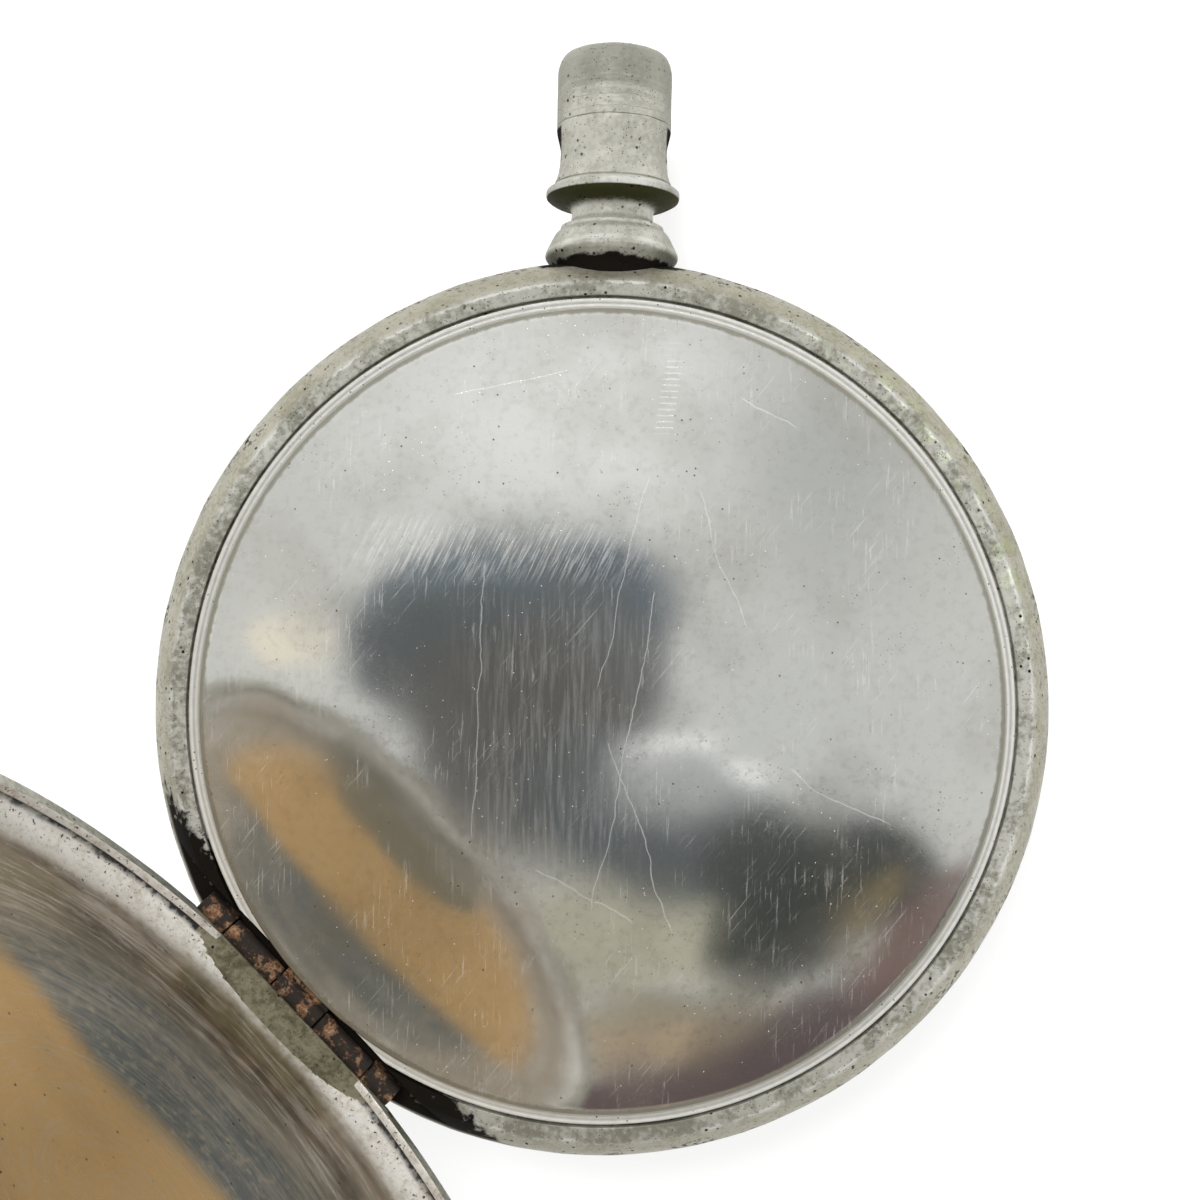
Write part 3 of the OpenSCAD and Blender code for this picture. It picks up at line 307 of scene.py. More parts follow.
@dataclass(frozen=True)
class WornNickel:
    """Cast nickel alloy that has been carried: dull, pitted, dirt and painted shade in its corners, a little
    verdigris.
    """

    name: str = "worn_nickel"
    light: tuple = (0.53, 0.52, 0.475)
    dark: tuple = (0.24, 0.235, 0.19)
    dirt: tuple = (0.005, 0.004, 0.003)
    verdigris: tuple = (0.20, 0.25, 0.13)
    # olive: the colour of the painted shade in the pendant's hollows and on its sides
    olive: tuple = (0.030, 0.030, 0.010)
    verdigris_dir: Point = (0.80, 0.60)
    verdigris_r: Point = (25.0, 25.9)
    metallic: float = 0.72
    specular: float = 0.08
    relief: float = 0.05

    def material(self) -> Material:
        """Builds the finish.

        Returns:
            The material.
        """
        made, net = new_material(self.name)
        at = net.place()
        x, y, _ = net.parts(at)
        radius = net.distance(x, y)
        cloud = net.grain(at, 0.35, 5.0, 0.6)
        fine = net.grain(at, 2.6, 5.0, 0.65)
        colour = net.mix((cloud * 0.5 + fine * 0.5).ramp(0.40, 0.58), self.dark, self.light)
        specks = net.specks(at, 1.5, (0.20, 0.09), 0.6, (0.44, 0.56))
        pits = specks.larger(net.specks(at, 4.6, (0.22, 0.12), 1.1, (0.40, 0.54)) * 0.8)
        toward = (x * self.verdigris_dir[0] + y * self.verdigris_dir[1]) / (radius + 0.001)
        damp = net.grain(at, 0.9, 4.0).ramp(0.46, 0.62)
        green = toward.ramp(0.84, 0.985) * damp * radius.ramp(*self.verdigris_r)
        wear = Wear(net, at, cloud, fine, colour, pits, fine * 0.5 - pits + cloud * 0.2)
        wear.tint(green * 0.6, self.verdigris)
        self.wear_and_painted_light(wear)
        # black of the grime mask: dirt, and painted shade in the gaps and holes
        wear.tint(wear.grime, self.dirt)
        dull = (wear.grime * self.metallic).larger(green * 0.5)
        rough = cloud * 0.22 + fine * 0.18 + 0.22 + green * 0.3 + wear.grime * 0.4
        # painted shade also makes the metal duller and rougher
        if wear.shade is not None:
            dull, rough = dull.larger(wear.shade * self.metallic), rough + wear.shade * 0.25
        net.shader(
            Base_Color=wear.colour,
            Metallic=self.metallic - dull,
            Roughness=rough,
            Specular_IOR_Level=self.specular,
            Normal=net.bump(wear.height, self.relief),
        )
        return made

    def wear_and_painted_light(self, wear: Wear) -> None:
        """Adds what a piece's place on the watch has done to it, and the light and shade painted on it; a
        plain piece gets nothing.
        """

    def darken_flanks(self, wear: Wear, strength: float) -> None:
        """Paints shade on the sides of the pendant, which turn away from the eye.

        Args:
            wear: The wear so far.
            strength: How dark they get, 0 to 1.
        """
        # painted shade: olive, less metallic sides, darker as they turn away
        side = (wear.net.parts(wear.at)[0].size() + wear.fine * 0.4).ramp(2.0, 4.0) * strength
        wear.tint(side, self.olive)
        wear.dull(side)


@dataclass(frozen=True)
class WornBandWithPaintedHighlight(WornNickel):
    """The band's finish: rubbed bright along its edge with a painted highlight, darker at top and bottom,
    black at the joint.
    """

    name: str = "worn_band_with_painted_highlight"
    shoulder: tuple = (0.27, 0.25, 0.17)
    # rubbed: the bright line along the edge, rubbed wear with a painted highlight
    rubbed: tuple = (0.80, 0.80, 0.76)
    edge_r: float = 26.3
    ends: Point = (16.0, 27.0)
    joint: Point = (24.0, 24.8)
    throat: Point = (27.30, 27.45)

    def wear_and_painted_light(self, wear: Wear) -> None:
        """Adds the band's darkening at top and bottom, its tarnished shoulder, its rubbed edge with a painted
        highlight and its grime.

        Args:
            wear: The wear so far.
        """
        net, fine = wear.net, wear.fine
        x, y, _ = net.parts(wear.at)
        edge = net.distance(x, y) + fine * 0.5
        # darker towards the top and bottom
        wear.tint(y.size().ramp(*self.ends) * 0.34, self.dark)
        wear.tint(edge.ramp(self.edge_r + 0.05, self.edge_r + 0.45) * 0.55, self.shoulder)
        # the thin bright line along the edge: rubbed wear and a painted highlight
        worn = (edge - self.edge_r).size().ramp(0.12, 0.04) * wear.cloud.ramp(0.44, 0.58)
        wear.tint(worn * 0.5, self.rubbed)
        wear.blacken(self.chord_dirt_and_shade(wear))
        patches = net.grain(wear.at, 0.5, 3.0).ramp(0.46, 0.58)
        wear.blacken((edge + wear.cloud * 3.0).ramp(28.5, 29.5) * fine.ramp(0.50, 0.57) * patches)

    def chord_dirt_and_shade(self, wear: Wear) -> Value:
        """Black grime along the joint's notch, and black dirt with painted shade under the pendant.

        Args:
            wear: The wear so far.

        Returns:
            Where the grime lies, 0 to 1.
        """
        x, y, z = wear.net.parts(wear.at)
        out = Joint.outward()
        across = x * out[0] + y * out[1]
        along = x * out[1] - y * out[0]
        rag = wear.net.grain(wear.at, 1.3, 4.0)
        joint = (across + rag * 3.4).ramp(*self.joint) * z.ramp(10.0, 10.9)
        near = (along.size() + rag * 5.0).ramp(15.4, 13.4) * across.ramp(20.0, 21.0)
        spill = near * z.ramp(11.0, 11.9)
        # under the pendant: dirt, and painted shade where the band meets the pendant's foot
        throat = (y + rag * 0.5).ramp(*self.throat) * (x.size() + rag).ramp(5.2, 4.8)
        return joint.larger(throat).larger(spill * rag.ramp(0.40, 0.50))


@dataclass(frozen=True)
class WornPendantWithPaintedLight(WornNickel):
    """The pendant's finish: painted highlights on collar and foot, painted olive shade in the hollows, black
    dirt with painted shade in the gaps.
    """

    name: str = "worn_pendant_with_painted_light"
    light: tuple = (0.55, 0.54, 0.485)
    dark: tuple = (0.40, 0.39, 0.34)
    # bright: the colour of the painted highlights on collar and foot
    bright: tuple = (0.72, 0.72, 0.70)
    collar: float = 32.3
    crease: float = 32.74
    foot: float = 28.86
    gap: float = 28.15
    holes: float = 35.24
    flanks: float = 0.5

    def wear_and_painted_light(self, wear: Wear) -> None:
        """Adds the pendant's painted highlights on its rims, the painted shade in its hollows and on its
        sides, and its grime.

        Args:
            wear: The wear so far.
        """
        x, y, _ = wear.net.parts(wear.at)
        fine = wear.fine
        rag = wear.net.grain(wear.at, 1.6, 4.0) * 0.5
        # black at the foot's gap and in the bow holes' mouths: dirt, with painted shade in these recesses
        gap = (y + rag * 1.6 + x * x * 0.012).ramp(self.gap + 0.2, self.gap)
        mouths = (x.size() + rag * 0.3).ramp(3.30, 3.42) * (y - self.holes).size().ramp(1.08, 0.9)
        wear.blacken(gap.larger(mouths))
        arch = y + x * x * 0.02
        # painted shade: olive under the collar, on the foot's lower skirt and in the crease
        under = (y + fine * 0.4).ramp(31.3, 31.75) * y.ramp(32.06, 31.98)
        skirt = (arch + fine * 0.3).ramp(28.8, 28.55) * 0.6
        crease = (y - self.crease).size().ramp(0.12, 0.04) * 0.7
        shade = under.larger(skirt).larger(crease)
        # painted highlights: bright lines along the collar's edge and the foot's lower edge
        painted_highlights = (y - self.collar).size().ramp(0.34, 0.22).larger((arch - self.foot).size().ramp(0.20, 0.06))
        wear.tint(painted_highlights * wear.cloud.ramp(0.30, 0.60) * 0.6, self.bright)
        wear.tint(shade, self.olive)
        wear.dull(shade)
        self.darken_flanks(wear, self.flanks)


@dataclass(frozen=True)
class WornCapWithPaintedShade(WornNickel):
    """The push-piece's finish: painted shade on its sides, tarnished towards its top, with the fine lines of
    the lathe.
    """

    name: str = "worn_push_piece_with_painted_shade"
    light: tuple = (0.54, 0.53, 0.475)
    dark: tuple = (0.40, 0.39, 0.34)
    tarnish: tuple = (0.20, 0.20, 0.165)
    tarnish_from: Point = (39.2, 40.6)
    flanks: float = 0.55

    def wear_and_painted_light(self, wear: Wear) -> None:
        """Adds the cap's painted shade on its sides, its tarnish and its turning marks.

        Args:
            wear: The wear so far.
        """
        # painted shade on the sides
        self.darken_flanks(wear, self.flanks)
        net, fine = wear.net, wear.fine
        _, y, _ = net.parts(wear.at)
        line = (y * 9.0 + wear.cloud * 5.0).sine().ramp(0.965, 0.995) * fine.ramp(0.44, 0.52)
        smear = net.grain(net.stretched(wear.at, (0.25, 2.4, 0.25)), 1.0, 4.0, 0.6)
        dull = (y + smear * 3.4).ramp(*self.tarnish_from)
        wear.tint((dull * 0.6).larger(line * 0.6), self.tarnish)
        wear.height = wear.height + (y * 23.0 + fine * 2.0).sine() * 0.06


@dataclass(frozen=True)
class Scratch:
    """One long scratch in polished metal, from point to point in millimetres, a little bowed."""

    start: Point
    end: Point
    half: float = 0.026

    def mask(self, x: Value, y: Value) -> Value:
        """Where the scratch runs.

        Args:
            x: The point's X, already bent by a slow wave.
            y: Its Y.

        Returns:
            0 to 1.
        """
        run = Vector(self.end) - Vector(self.start)
        way = run.normalized()
        u, v = x - self.start[0], y - self.start[1]
        along = u * way.x + v * way.y
        aside = (v * way.x - u * way.y).size()
        ends = along.ramp(0.0, 0.4), along.ramp(run.length, run.length - 1.0)
        return aside.ramp(self.half * 1.8, self.half * 0.6) * ends[0] * ends[1]


@dataclass(frozen=True)
class PolishedNickel:
    """Polished sheet metal with the fine scratches, specks and stains of a century of thumbs."""

    name: str = "polished_nickel"
    colour: tuple = (0.86, 0.86, 0.84)
    stain: tuple = (0.50, 0.475, 0.42)
    speck: tuple = (0.12, 0.10, 0.07)
    # edge: the colour of the painted shade at the rim
    edge: tuple = (0.42, 0.39, 0.30)
    rough: float = 0.07
    stains: float = 0.5
    specks: float = 0.8
    rim_radius: float = 99.0
    scratches: tuple = ()
    rubbed: bool = False

    def material(self) -> Material:
        """Builds the finish.

        Returns:
            The material.
        """
        made, net = new_material(self.name)
        at = net.place()
        x, y, _ = net.parts(at)
        cloud = net.grain(at, 0.13, 4.0, 0.55)
        fine = net.grain(at, 1.8, 5.0, 0.6)
        grit = net.grain(at, 7.0, 3.0, 0.6)
        lines = self.marks(net, at, cloud)
        spots = net.specks(at, 1.25, (0.10, 0.045), 0.35, (0.45, 0.60))
        crumbs = net.specks(at, 3.4, (0.16, 0.08), 0.5, (0.50, 0.62), 3.0)
        spots = spots.larger(crumbs * 0.7) * self.specks
        flat = net.stretched(at, (1.0, 1.0, 0.0))
        bright = net.cells(flat, 1.9).ramp(0.085, 0.04) * cloud.ramp(0.44, 0.54)
        tarnish = (cloud.ramp(0.42, 0.66) * 0.6 + fine.ramp(0.46, 0.72) * 0.4) * self.stains
        # painted shade: a darker ring at the dome's edge
        rim = (net.distance(x, y) + fine * 0.3).ramp(self.rim_radius, self.rim_radius + 0.2)
        colour = net.mix(tarnish, self.colour, self.stain)
        colour = net.mix(rim * 0.7, net.mix(spots, colour, self.speck), self.edge)
        rubbed = lines.larger(bright * 0.5)
        marred = tarnish * 0.16 + rubbed * 0.3 + spots * 0.3 + rim * 0.3
        net.shader(
            Base_Color=colour,
            Metallic=1.0 - rubbed * 0.75,
            Roughness=marred + grit * 0.06 + self.rough,
            Normal=net.bump(fine * 0.10 + grit * 0.06 - lines * 0.25 - spots * 0.3 + 0.4, 0.006),
        )
        return made

    def marks(self, net: Net, at: Socket, cloud: Value) -> Value:
        """The scratches, the rubbed streaks and the row of short ticks.

        Args:
            net: The material's net.
            at: The point, in millimetres.
            cloud: A slow noise that bends the marks.

        Returns:
            Where the metal is scratched bright, 0 to 1.
        """
        x, y, _ = net.parts(at)
        hair = net.streaks(at, (7.0, 0.35, 1.0)).ramp(0.58, 0.68)
        slant = net.streaks(net.leaning(at, 38.0), (9.0, 0.30, 1.0)).ramp(0.60, 0.69)
        out = (hair * 0.13).larger(slant * 0.12) * net.grain(at, 0.22, 2.0).ramp(0.45, 0.60)
        if not self.rubbed:
            return out
        bend = (cloud - 0.5) * 2.2
        for scratch in self.scratches:
            out = out.larger(scratch.mask(x + bend, y + bend * 0.6) * 0.17)
        wave = net.grain(net.stretched(at, (4.2, 0.26, 1.0)), 1.0, 4.0, 0.65)
        patch = x.ramp(-10.5, -4.5) * x.ramp(4.0, -1.5) * y.ramp(-11.0, -8.0) * y.ramp(8.5, 5.0)
        out = out.larger(wave.ramp(0.42, 0.72) * patch * 0.075)
        brush = net.streaks(net.leaning(at, 25.0), (8.0, 0.4, 1.0))
        frayed = x.ramp(-17.0, -13.0) * x.ramp(5.0, -2.0) * (y - 9.6).size().ramp(2.6, 0.6)
        out = out.larger(brush.ramp(0.44, 0.66) * frayed * 0.20)
        ticks = (y * 17.0).sine().ramp(0.55, 0.85) * y.ramp(16.6, 17.0) * y.ramp(22.6, 22.2)
        beside = (x - y * 0.16 - 0.55).size().ramp(0.62, 0.4)
        return out.larger(ticks * beside * cloud.ramp(0.38, 0.50) * 0.2)


@dataclass(frozen=True)
class LidLining:
    """The inside of the back lid: silvery at the rim, brown and blue-grey bands, gold above."""

    name: str = "lid_lining"
    silver: tuple = (0.54, 0.52, 0.48)
    brown: tuple = (0.50, 0.42, 0.33)
    blue: tuple = (0.14, 0.155, 0.16)
    grey: tuple = (0.40, 0.35, 0.26)
    gold: tuple = (0.80, 0.48, 0.18)
    olive: tuple = (0.22, 0.205, 0.15)
    brushed: tuple = (0.62, 0.60, 0.55)
    speck: tuple = (0.03, 0.022, 0.016)
    # dirt: the black of the crevice at the rim, painted shade with dirt
    dirt: tuple = (0.005, 0.004, 0.003)
    centre_up: float = 37.2
    blue_from: Point = (6.0, 9.5)
    brown_from: Point = (15.0, 20.0)
    silver_from: Point = (22.8, 25.0)
    gold_up: Point = (-9.3, -6.3)
    gold_reach: Point = (21.5, 18.0)
    pool_left: float = 4.0
    pool_up: float = 15.5
    pool_half: Point = (13.0, 8.0)
    crevice_dirt_and_shade_from: Point = (25.46, 25.62)

    def material(self) -> Material:
        """Builds the finish.

        Returns:
            The material.
        """
        made, net = new_material(self.name)
        at = net.place()
        along, _, height = net.parts(Joint.lid_coordinates(net, at))
        up = height - self.centre_up
        reach = net.distance(along, up)
        warp = net.grain(at, 0.13, 4.0, 0.6)
        fine = net.grain(at, 1.6, 5.0, 0.62)
        swept = net.grain(net.vector(reach * 1.1, along * 0.14, up * 0.14), 1.0, 5.0, 0.65)
        brushed = net.grain(net.vector(reach * 6.0, along * 0.35, up * 0.35), 1.0, 3.0, 0.6)
        ring = reach + (warp - 0.5) * 8.0 + (fine - 0.5) * 1.2
        colour = net.mix(ring.ramp(*self.blue_from) * fine.ramp(0.24, 0.54) * 0.9, self.grey, self.blue)
        colour = net.mix(ring.ramp(*self.brown_from), colour, self.brown)
        colour = net.mix(swept.ramp(0.42, 0.60) * ring.ramp(9.0, 15.0) * 0.5, colour, self.brown)
        wide = (reach + (warp - 0.5) * 3.0).ramp(*self.silver_from)
        streaks = (swept * 0.6 + brushed * 0.4).ramp(0.46, 0.62) * ring.ramp(*self.brown_from) * 0.5
        silver = (wide * (fine * 0.5 + warp * 0.5).ramp(0.26, 0.56)).larger(streaks)
        golden = (up + (warp - 0.5) * 2.5 + (fine - 0.5) * 1.5).ramp(*self.gold_up)
        golden = golden * reach.ramp(*self.gold_reach)
        colour = net.mix(golden * (fine * 0.4 + 0.66), colour, self.gold)
        across = (along + self.pool_left) / self.pool_half[0]
        rise = (up - self.pool_up) / self.pool_half[1]
        pool = net.distance(across, rise) + (fine - 0.5) * 0.15
        colour = net.mix(pool.ramp(1.06, 0.94) * 0.9, colour, self.olive)
        colour = net.mix(silver, colour, self.silver)
        colour = net.mix(brushed.ramp(0.46, 0.66) * 0.22, colour, self.brushed)
        specks = net.specks(at, 1.3, (0.13, 0.06), 0.4, (0.45, 0.58))
        edge_dirt = net.grain(at, 4.5, 3.0, 0.7).ramp(0.60, 0.66) * (reach + fine * 1.4).ramp(24.6, 25.8)
        colour = net.mix(specks.larger(edge_dirt), colour, self.speck)
        # black line in the crevice at the rim: painted shade, with dirt
        dirt = (reach + fine * 0.3).ramp(*self.crevice_dirt_and_shade_from)
        net.shader(
            Base_Color=net.mix(dirt, colour, self.dirt),
            Metallic=1.0 - (silver * 0.5).larger(dirt),
            Roughness=fine * 0.16 + warp * 0.12 + 0.10,
            Normal=net.bump(fine * 0.25 - specks * 0.5 + 0.3, 0.010),
        )
        return made


@dataclass(frozen=True)
class RustyJoint:
    """The joint's tubes: black dirt over brass, rubbed through to coppery brown in patches."""

    name: str = "rusty_joint"
    rust: tuple = (0.25, 0.12, 0.06)
    bright: tuple = (0.50, 0.33, 0.21)
    black: tuple = (0.012, 0.009, 0.007)

    def material(self) -> bpy.types.Material:
        """Builds the finish.

        Returns:
            The material.
        """
        made, net = new_material(self.name)
        at = net.place()
        coarse = net.grain(at, 0.8, 4.0, 0.62)
        fine = net.grain(at, 5.0, 4.0, 0.6)
        colour = net.mix(fine.ramp(0.42, 0.62), self.rust, self.bright)
        black = (coarse * 0.7 + fine * 0.3).ramp(0.40, 0.50)
        net.shader(
            Base_Color=net.mix(black, colour, self.black),
            Metallic=0.9 - black * 0.9,
            Roughness=fine * 0.3 + black * 0.3 + 0.32,
            Normal=net.bump(fine * 0.6 + coarse * 0.6, 0.08),
        )
        return made


@dataclass(frozen=True)
class TurnedRing:
    """A lathe-turned flange, dull between its fine bright rings."""

    name: str = "turned_flange"
    light: tuple = (0.95, 0.94, 0.90)
    dark: tuple = (0.50, 0.49, 0.44)
    speck: tuple = (0.03, 0.025, 0.02)

    def material(self) -> bpy.types.Material:
        """Builds the finish.

        Returns:
            The material.
        """
        made, net = new_material(self.name)
        at = net.place()
        x, y, _ = net.parts(at)
        rings = (net.distance(x, y) * 21.0).sine() * 0.5 + 0.5
        fine = net.grain(at, 2.2, 4.0)
        colour = net.mix(rings * 0.6 + fine * 0.4, self.dark, self.light)
        specks = net.specks(at, 3.0, (0.2, 0.1), 0.8, (0.48, 0.58))
        net.shader(
            Base_Color=net.mix(specks, colour, self.speck),
            Metallic=0.75 - specks * 0.7,
            Roughness=fine * 0.2 + 0.26,
            Normal=net.bump(rings * 0.5, 0.02),
        )
        return made


@dataclass(frozen=True)
class MovementMetal:
    """A movement's metal, plain, brushed or frosted, with the faint cloud of old oil."""

    name: str
    colour: tuple
    deep: tuple
    rough: float = 0.25
    metallic: float = 1.0
    frost: float = 0.3

    def material(self) -> bpy.types.Material:
        """Builds the finish.

        Returns:
            The material.
        """
        made, net = new_material(self.name)
        at = net.place()
        cloud = net.grain(at, 0.5, 3.0)
        grit = net.grain(at, 9.0, 3.0)
        colour = net.mix(cloud.ramp(0.35, 0.7) * 0.8, self.colour, self.deep)
        net.shader(
            Base_Color=colour,
            Metallic=self.metallic,
            Roughness=cloud * 0.12 + self.rough,
            Normal=net.bump(grit * self.frost, 0.012),
        )
        return made


@dataclass(frozen=True)
class ClearGlass:
    """The crystal."""

    name: str = "crystal_glass"
    tint: tuple = (0.96, 0.98, 0.98)

    def material(self) -> bpy.types.Material:
        """Builds the finish.

        Returns:
            The material.
        """
        made, net = new_material(self.name)
        smear = net.grain(net.place(), 0.3, 4.0)
        net.shader(
            Base_Color=rgba(self.tint),
            Roughness=smear.ramp(0.45, 0.8) * 0.05 + 0.01,
            Transmission_Weight=1.0,
            IOR=1.5,
        )
        return made


@dataclass(frozen=True)
class Enamel:
    """The dial's white enamel, with a hint of old yellow and hairline cracks."""

    name: str = "dial_enamel"
    white: tuple = (0.86, 0.85, 0.80)
    aged: tuple = (0.80, 0.77, 0.68)
    crack: tuple = (0.30, 0.27, 0.22)

    def material(self) -> bpy.types.Material:
        """Builds the finish.

        Returns:
            The material.
        """
        made, net = new_material(self.name)
        at = net.place()
        age = net.grain(at, 0.12, 4.0)
        cracks = net.cells(at, 0.085, "DISTANCE_TO_EDGE").ramp(0.006, 0.002)
        colour = net.mix(age.ramp(0.4, 0.8) * 0.5, self.white, self.aged)
        colour = net.mix(cracks * 0.35, colour, self.crack)
        net.shader(Base_Color=colour, Metallic=0.0, Roughness=age * 0.08 + 0.10, Coat_Weight=0.4)
        return made


# ---------------------------------------------------------------- mesh work


def rotation(angle: float, axis: str) -> Matrix:
    """A turn by degrees round one axis."""
    return Matrix.Rotation(math.radians(angle), 4, axis)


def arc(centre: Point, radius: float, start: float, end: float, steps: int) -> list[Point]:
    """Points along an arc, both ends included."""
    turn = [math.radians(start + (end - start) * i / steps) for i in range(steps + 1)]
    return [(centre[0] + radius * math.cos(a), centre[1] + radius * math.sin(a)) for a in turn]


def softened(points: Sequence[tuple], steps: int = 5, closed: bool = True) -> list[Point]:
    """Rounds an outline's corners.

    Args:
        points: Corners as (x, y) or (x, y, radius).
        steps: Chords per rounded corner.
        closed: Whether the last corner joins the first.

    Returns:
        The rounded outline.
    """
    out: list[Point] = []
    count = len(points)
    for i, corner in enumerate(points):
        radius = corner[2] if len(corner) > 2 else 0.0
        if radius <= 0 or (not closed and i in (0, count - 1)):
            out.append((corner[0], corner[1]))
            continue
        here = Vector(corner[:2])
        before = Vector(points[i - 1][:2]) - here
        after = Vector(points[(i + 1) % count][:2]) - here
        reach = min(radius, before.length * 0.45, after.length * 0.45)
        a, b = here + before.normalized() * reach, here + after.normalized() * reach
        for k in range(steps + 1):
            t = k / steps
            p = a * (1 - t) ** 2 + here * 2 * t * (1 - t) + b * t ** 2
            out.append((p.x, p.y))
    return out


def subdivided(points: Sequence[Point], longest: float, closed: bool = True) -> list[Point]:
    """Splits an outline's long sides so that a waviness can bend them.

    Args:
        points: The outline.
        longest: The longest side left, in its units.
        closed: Whether the last point joins the first.

    Returns:
        The finer outline.
    """
    out: list[Point] = []
    pairs = len(points) if closed else len(points) - 1
    for i in range(pairs):
        a, b = Vector(points[i]), Vector(points[(i + 1) % len(points)])
        parts = max(1, math.ceil((b - a).length / longest))
        out.extend(tuple(a.lerp(b, k / parts)) for k in range(parts))
    if not closed:
        out.append(tuple(points[-1]))
    return out


def revolved(name: str, outline: Sequence[Point], steps: int = 360, closed: bool = True) -> Piece:
    """Turns an outline in millimetres round Z into a mesh in metres.

    Args:
        name: The object's name.
        outline: (radius, height) points.
        steps: Facets round the turn.
        closed: Whether the outline is a closed loop; an open one starts and ends on the axis or an edge.

    Returns:
        The object.
    """
    made = bmesh.new()
    rings = []
    for r, h in outline:
        if r < 1e-6:
            rings.append([made.verts.new((0, 0, h * MM))])
        else:
            turns = [TURN * i / steps for i in range(steps)]
            places = [(r * MM * math.cos(a), r * MM * math.sin(a), h * MM) for a in turns]
            rings.append([made.verts.new(place) for place in places])
    for a, b in zip(rings, rings[1:] + rings[:1] if closed else rings[1:]):
        if len(a) == 1 and len(b) == 1:
            continue
        for i in range(steps):
            j = (i + 1) % steps
            if len(a) == 1:
                made.faces.new((a[0], b[j], b[i]))
            elif len(b) == 1:
                made.faces.new((a[i], a[j], b[0]))
            else:
                made.faces.new((a[i], a[j], b[j], b[i]))
    bmesh.ops.recalc_face_normals(made, faces=made.faces[:])
    return as_object(name, made)


def as_object(name: str, made: bmesh.types.BMesh) -> Piece:
    """Turns mesh data into an object in the scene.

    Args:
        name: The object's name.
        made: The mesh data, which is freed.

    Returns:
        The object.
    """
    mesh = bpy.data.meshes.new(name)
    made.to_mesh(mesh)
    made.free()
    piece = bpy.data.objects.new(name, mesh)
    bpy.context.scene.collection.objects.link(piece)
    return piece


def extruded(name: str, outline: Sequence[Point], low: float, high: float) -> Piece:
    """Extrudes a closed outline in millimetres along Z.

    Args:
        name: The object's name.
        outline: The points, counter-clockwise.
        low: The lower height.
        high: The upper height.

    Returns:
        The object.
    """
    made = bmesh.new()
    below = [made.verts.new((x * MM, y * MM, low * MM)) for x, y in outline]
    above = [made.verts.new((x * MM, y * MM, high * MM)) for x, y in outline]
    made.faces.new(below[::-1])
    made.faces.new(above)
    for i in range(len(outline)):
        j = (i + 1) % len(outline)
        made.faces.new((below[i], below[j], above[j], above[i]))
    bmesh.ops.recalc_face_normals(made, faces=made.faces[:])
    return as_object(name, made)


def block(low: Sequence[float], high: Sequence[float]) -> Piece:
    """A plain box to cut with."""
    outline = [(low[0], low[1]), (high[0], low[1]), (high[0], high[1]), (low[0], high[1])]
    return extruded("cutter", outline, low[2], high[2])


def turned(piece: Piece, matrix: Matrix) -> Piece:
    """Moves an object's mesh, leaving the object at the origin.

    Args:
        piece: The object.
        matrix: The motion, in metres.

    Returns:
        The object.
    """
    piece.data.transform(matrix)
    piece.data.update()
    return piece


class Cut(Enum):
    """What a boolean does with its second piece."""

    AWAY = "DIFFERENCE"
    JOIN = "UNION"
    COMMON = "INTERSECT"


def combine(piece: Piece, other: Piece, how: Cut = Cut.AWAY) -> Piece:
    """Applies one boolean and deletes the second piece.

    Args:
        piece: The object that stays.
        other: The object used up.
        how: What the boolean does.

    Returns:
        The first object.
    """
    step = piece.modifiers.new("cut", "BOOLEAN")
    step.operation = how.value
    step.solver = "EXACT"
    step.object = other
    graph = bpy.context.evaluated_depsgraph_get()
    old, piece.data = piece.data, bpy.data.meshes.new_from_object(piece.evaluated_get(graph))
    piece.modifiers.clear()
    bpy.data.meshes.remove(old)
    bpy.data.objects.remove(other)
    return piece


def joined(name: str, pieces: Sequence[Piece]) -> Piece:
    """Makes one object of several.

    Args:
        name: Its name.
        pieces: The objects, which are used up.

    Returns:
        The object.
    """
    made = bmesh.new()
    for piece in pieces:
        made.from_mesh(piece.data)
        bpy.data.objects.remove(piece)
    return as_object(name, made)


def wavy(piece: Piece, depth: float, wave: float, seed: float = 0.0) -> Piece:
    """Pushes a surface in and out a little, as handling does.

    Args:
        piece: The object.
        depth: The most that a point moves, in millimetres.
        wave: The length of the waves, in millimetres.
        seed: Shifts the pattern.

    Returns:
        The object.
    """
    mesh = piece.data
    normals = [v.normal.copy() for v in mesh.vertices]
    for vertex, normal in zip(mesh.vertices, normals):
        at = vertex.co / (wave * MM) + Vector((seed, seed * 0.7, -seed))
        push = noise.noise(at) + 0.5 * noise.noise(at * 2.1)
        vertex.co += normal * (push * depth * MM)
    mesh.update()
    return piece


def shaded(piece: Piece, angle: float = 32.0) -> Piece:
    """Smooths an object's shading except over its sharp edges.

    Args:
        piece: The object.
        angle: The sharpest smooth edge, in degrees.

    Returns:
        The object.
    """
    mesh = piece.data
    mesh.polygons.foreach_set("use_smooth", [True] * len(mesh.polygons))
    mesh.set_sharp_from_angle(angle=math.radians(angle))
    mesh.update()
    return piece


def dressed(
    piece: Piece, material: Material, body: str, replaces: Sequence[str] = ()
) -> Piece:
    """Gives a piece its finish, its body and the nodes that it stands for.

    Args:
        piece: The object.
        material: Its material.
        body: The CAD body it moves with.
        replaces: The CAD nodes it replaces.

    Returns:
        The object.
    """
    piece.data.materials.clear()
    piece.data.materials.append(material)
    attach(piece, body)
    for node in replaces:
        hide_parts(node)
    log.info("%s: %d faces on %s", piece.name, len(piece.data.polygons), body)
    return piece


# ---------------------------------------------------------------- the watch


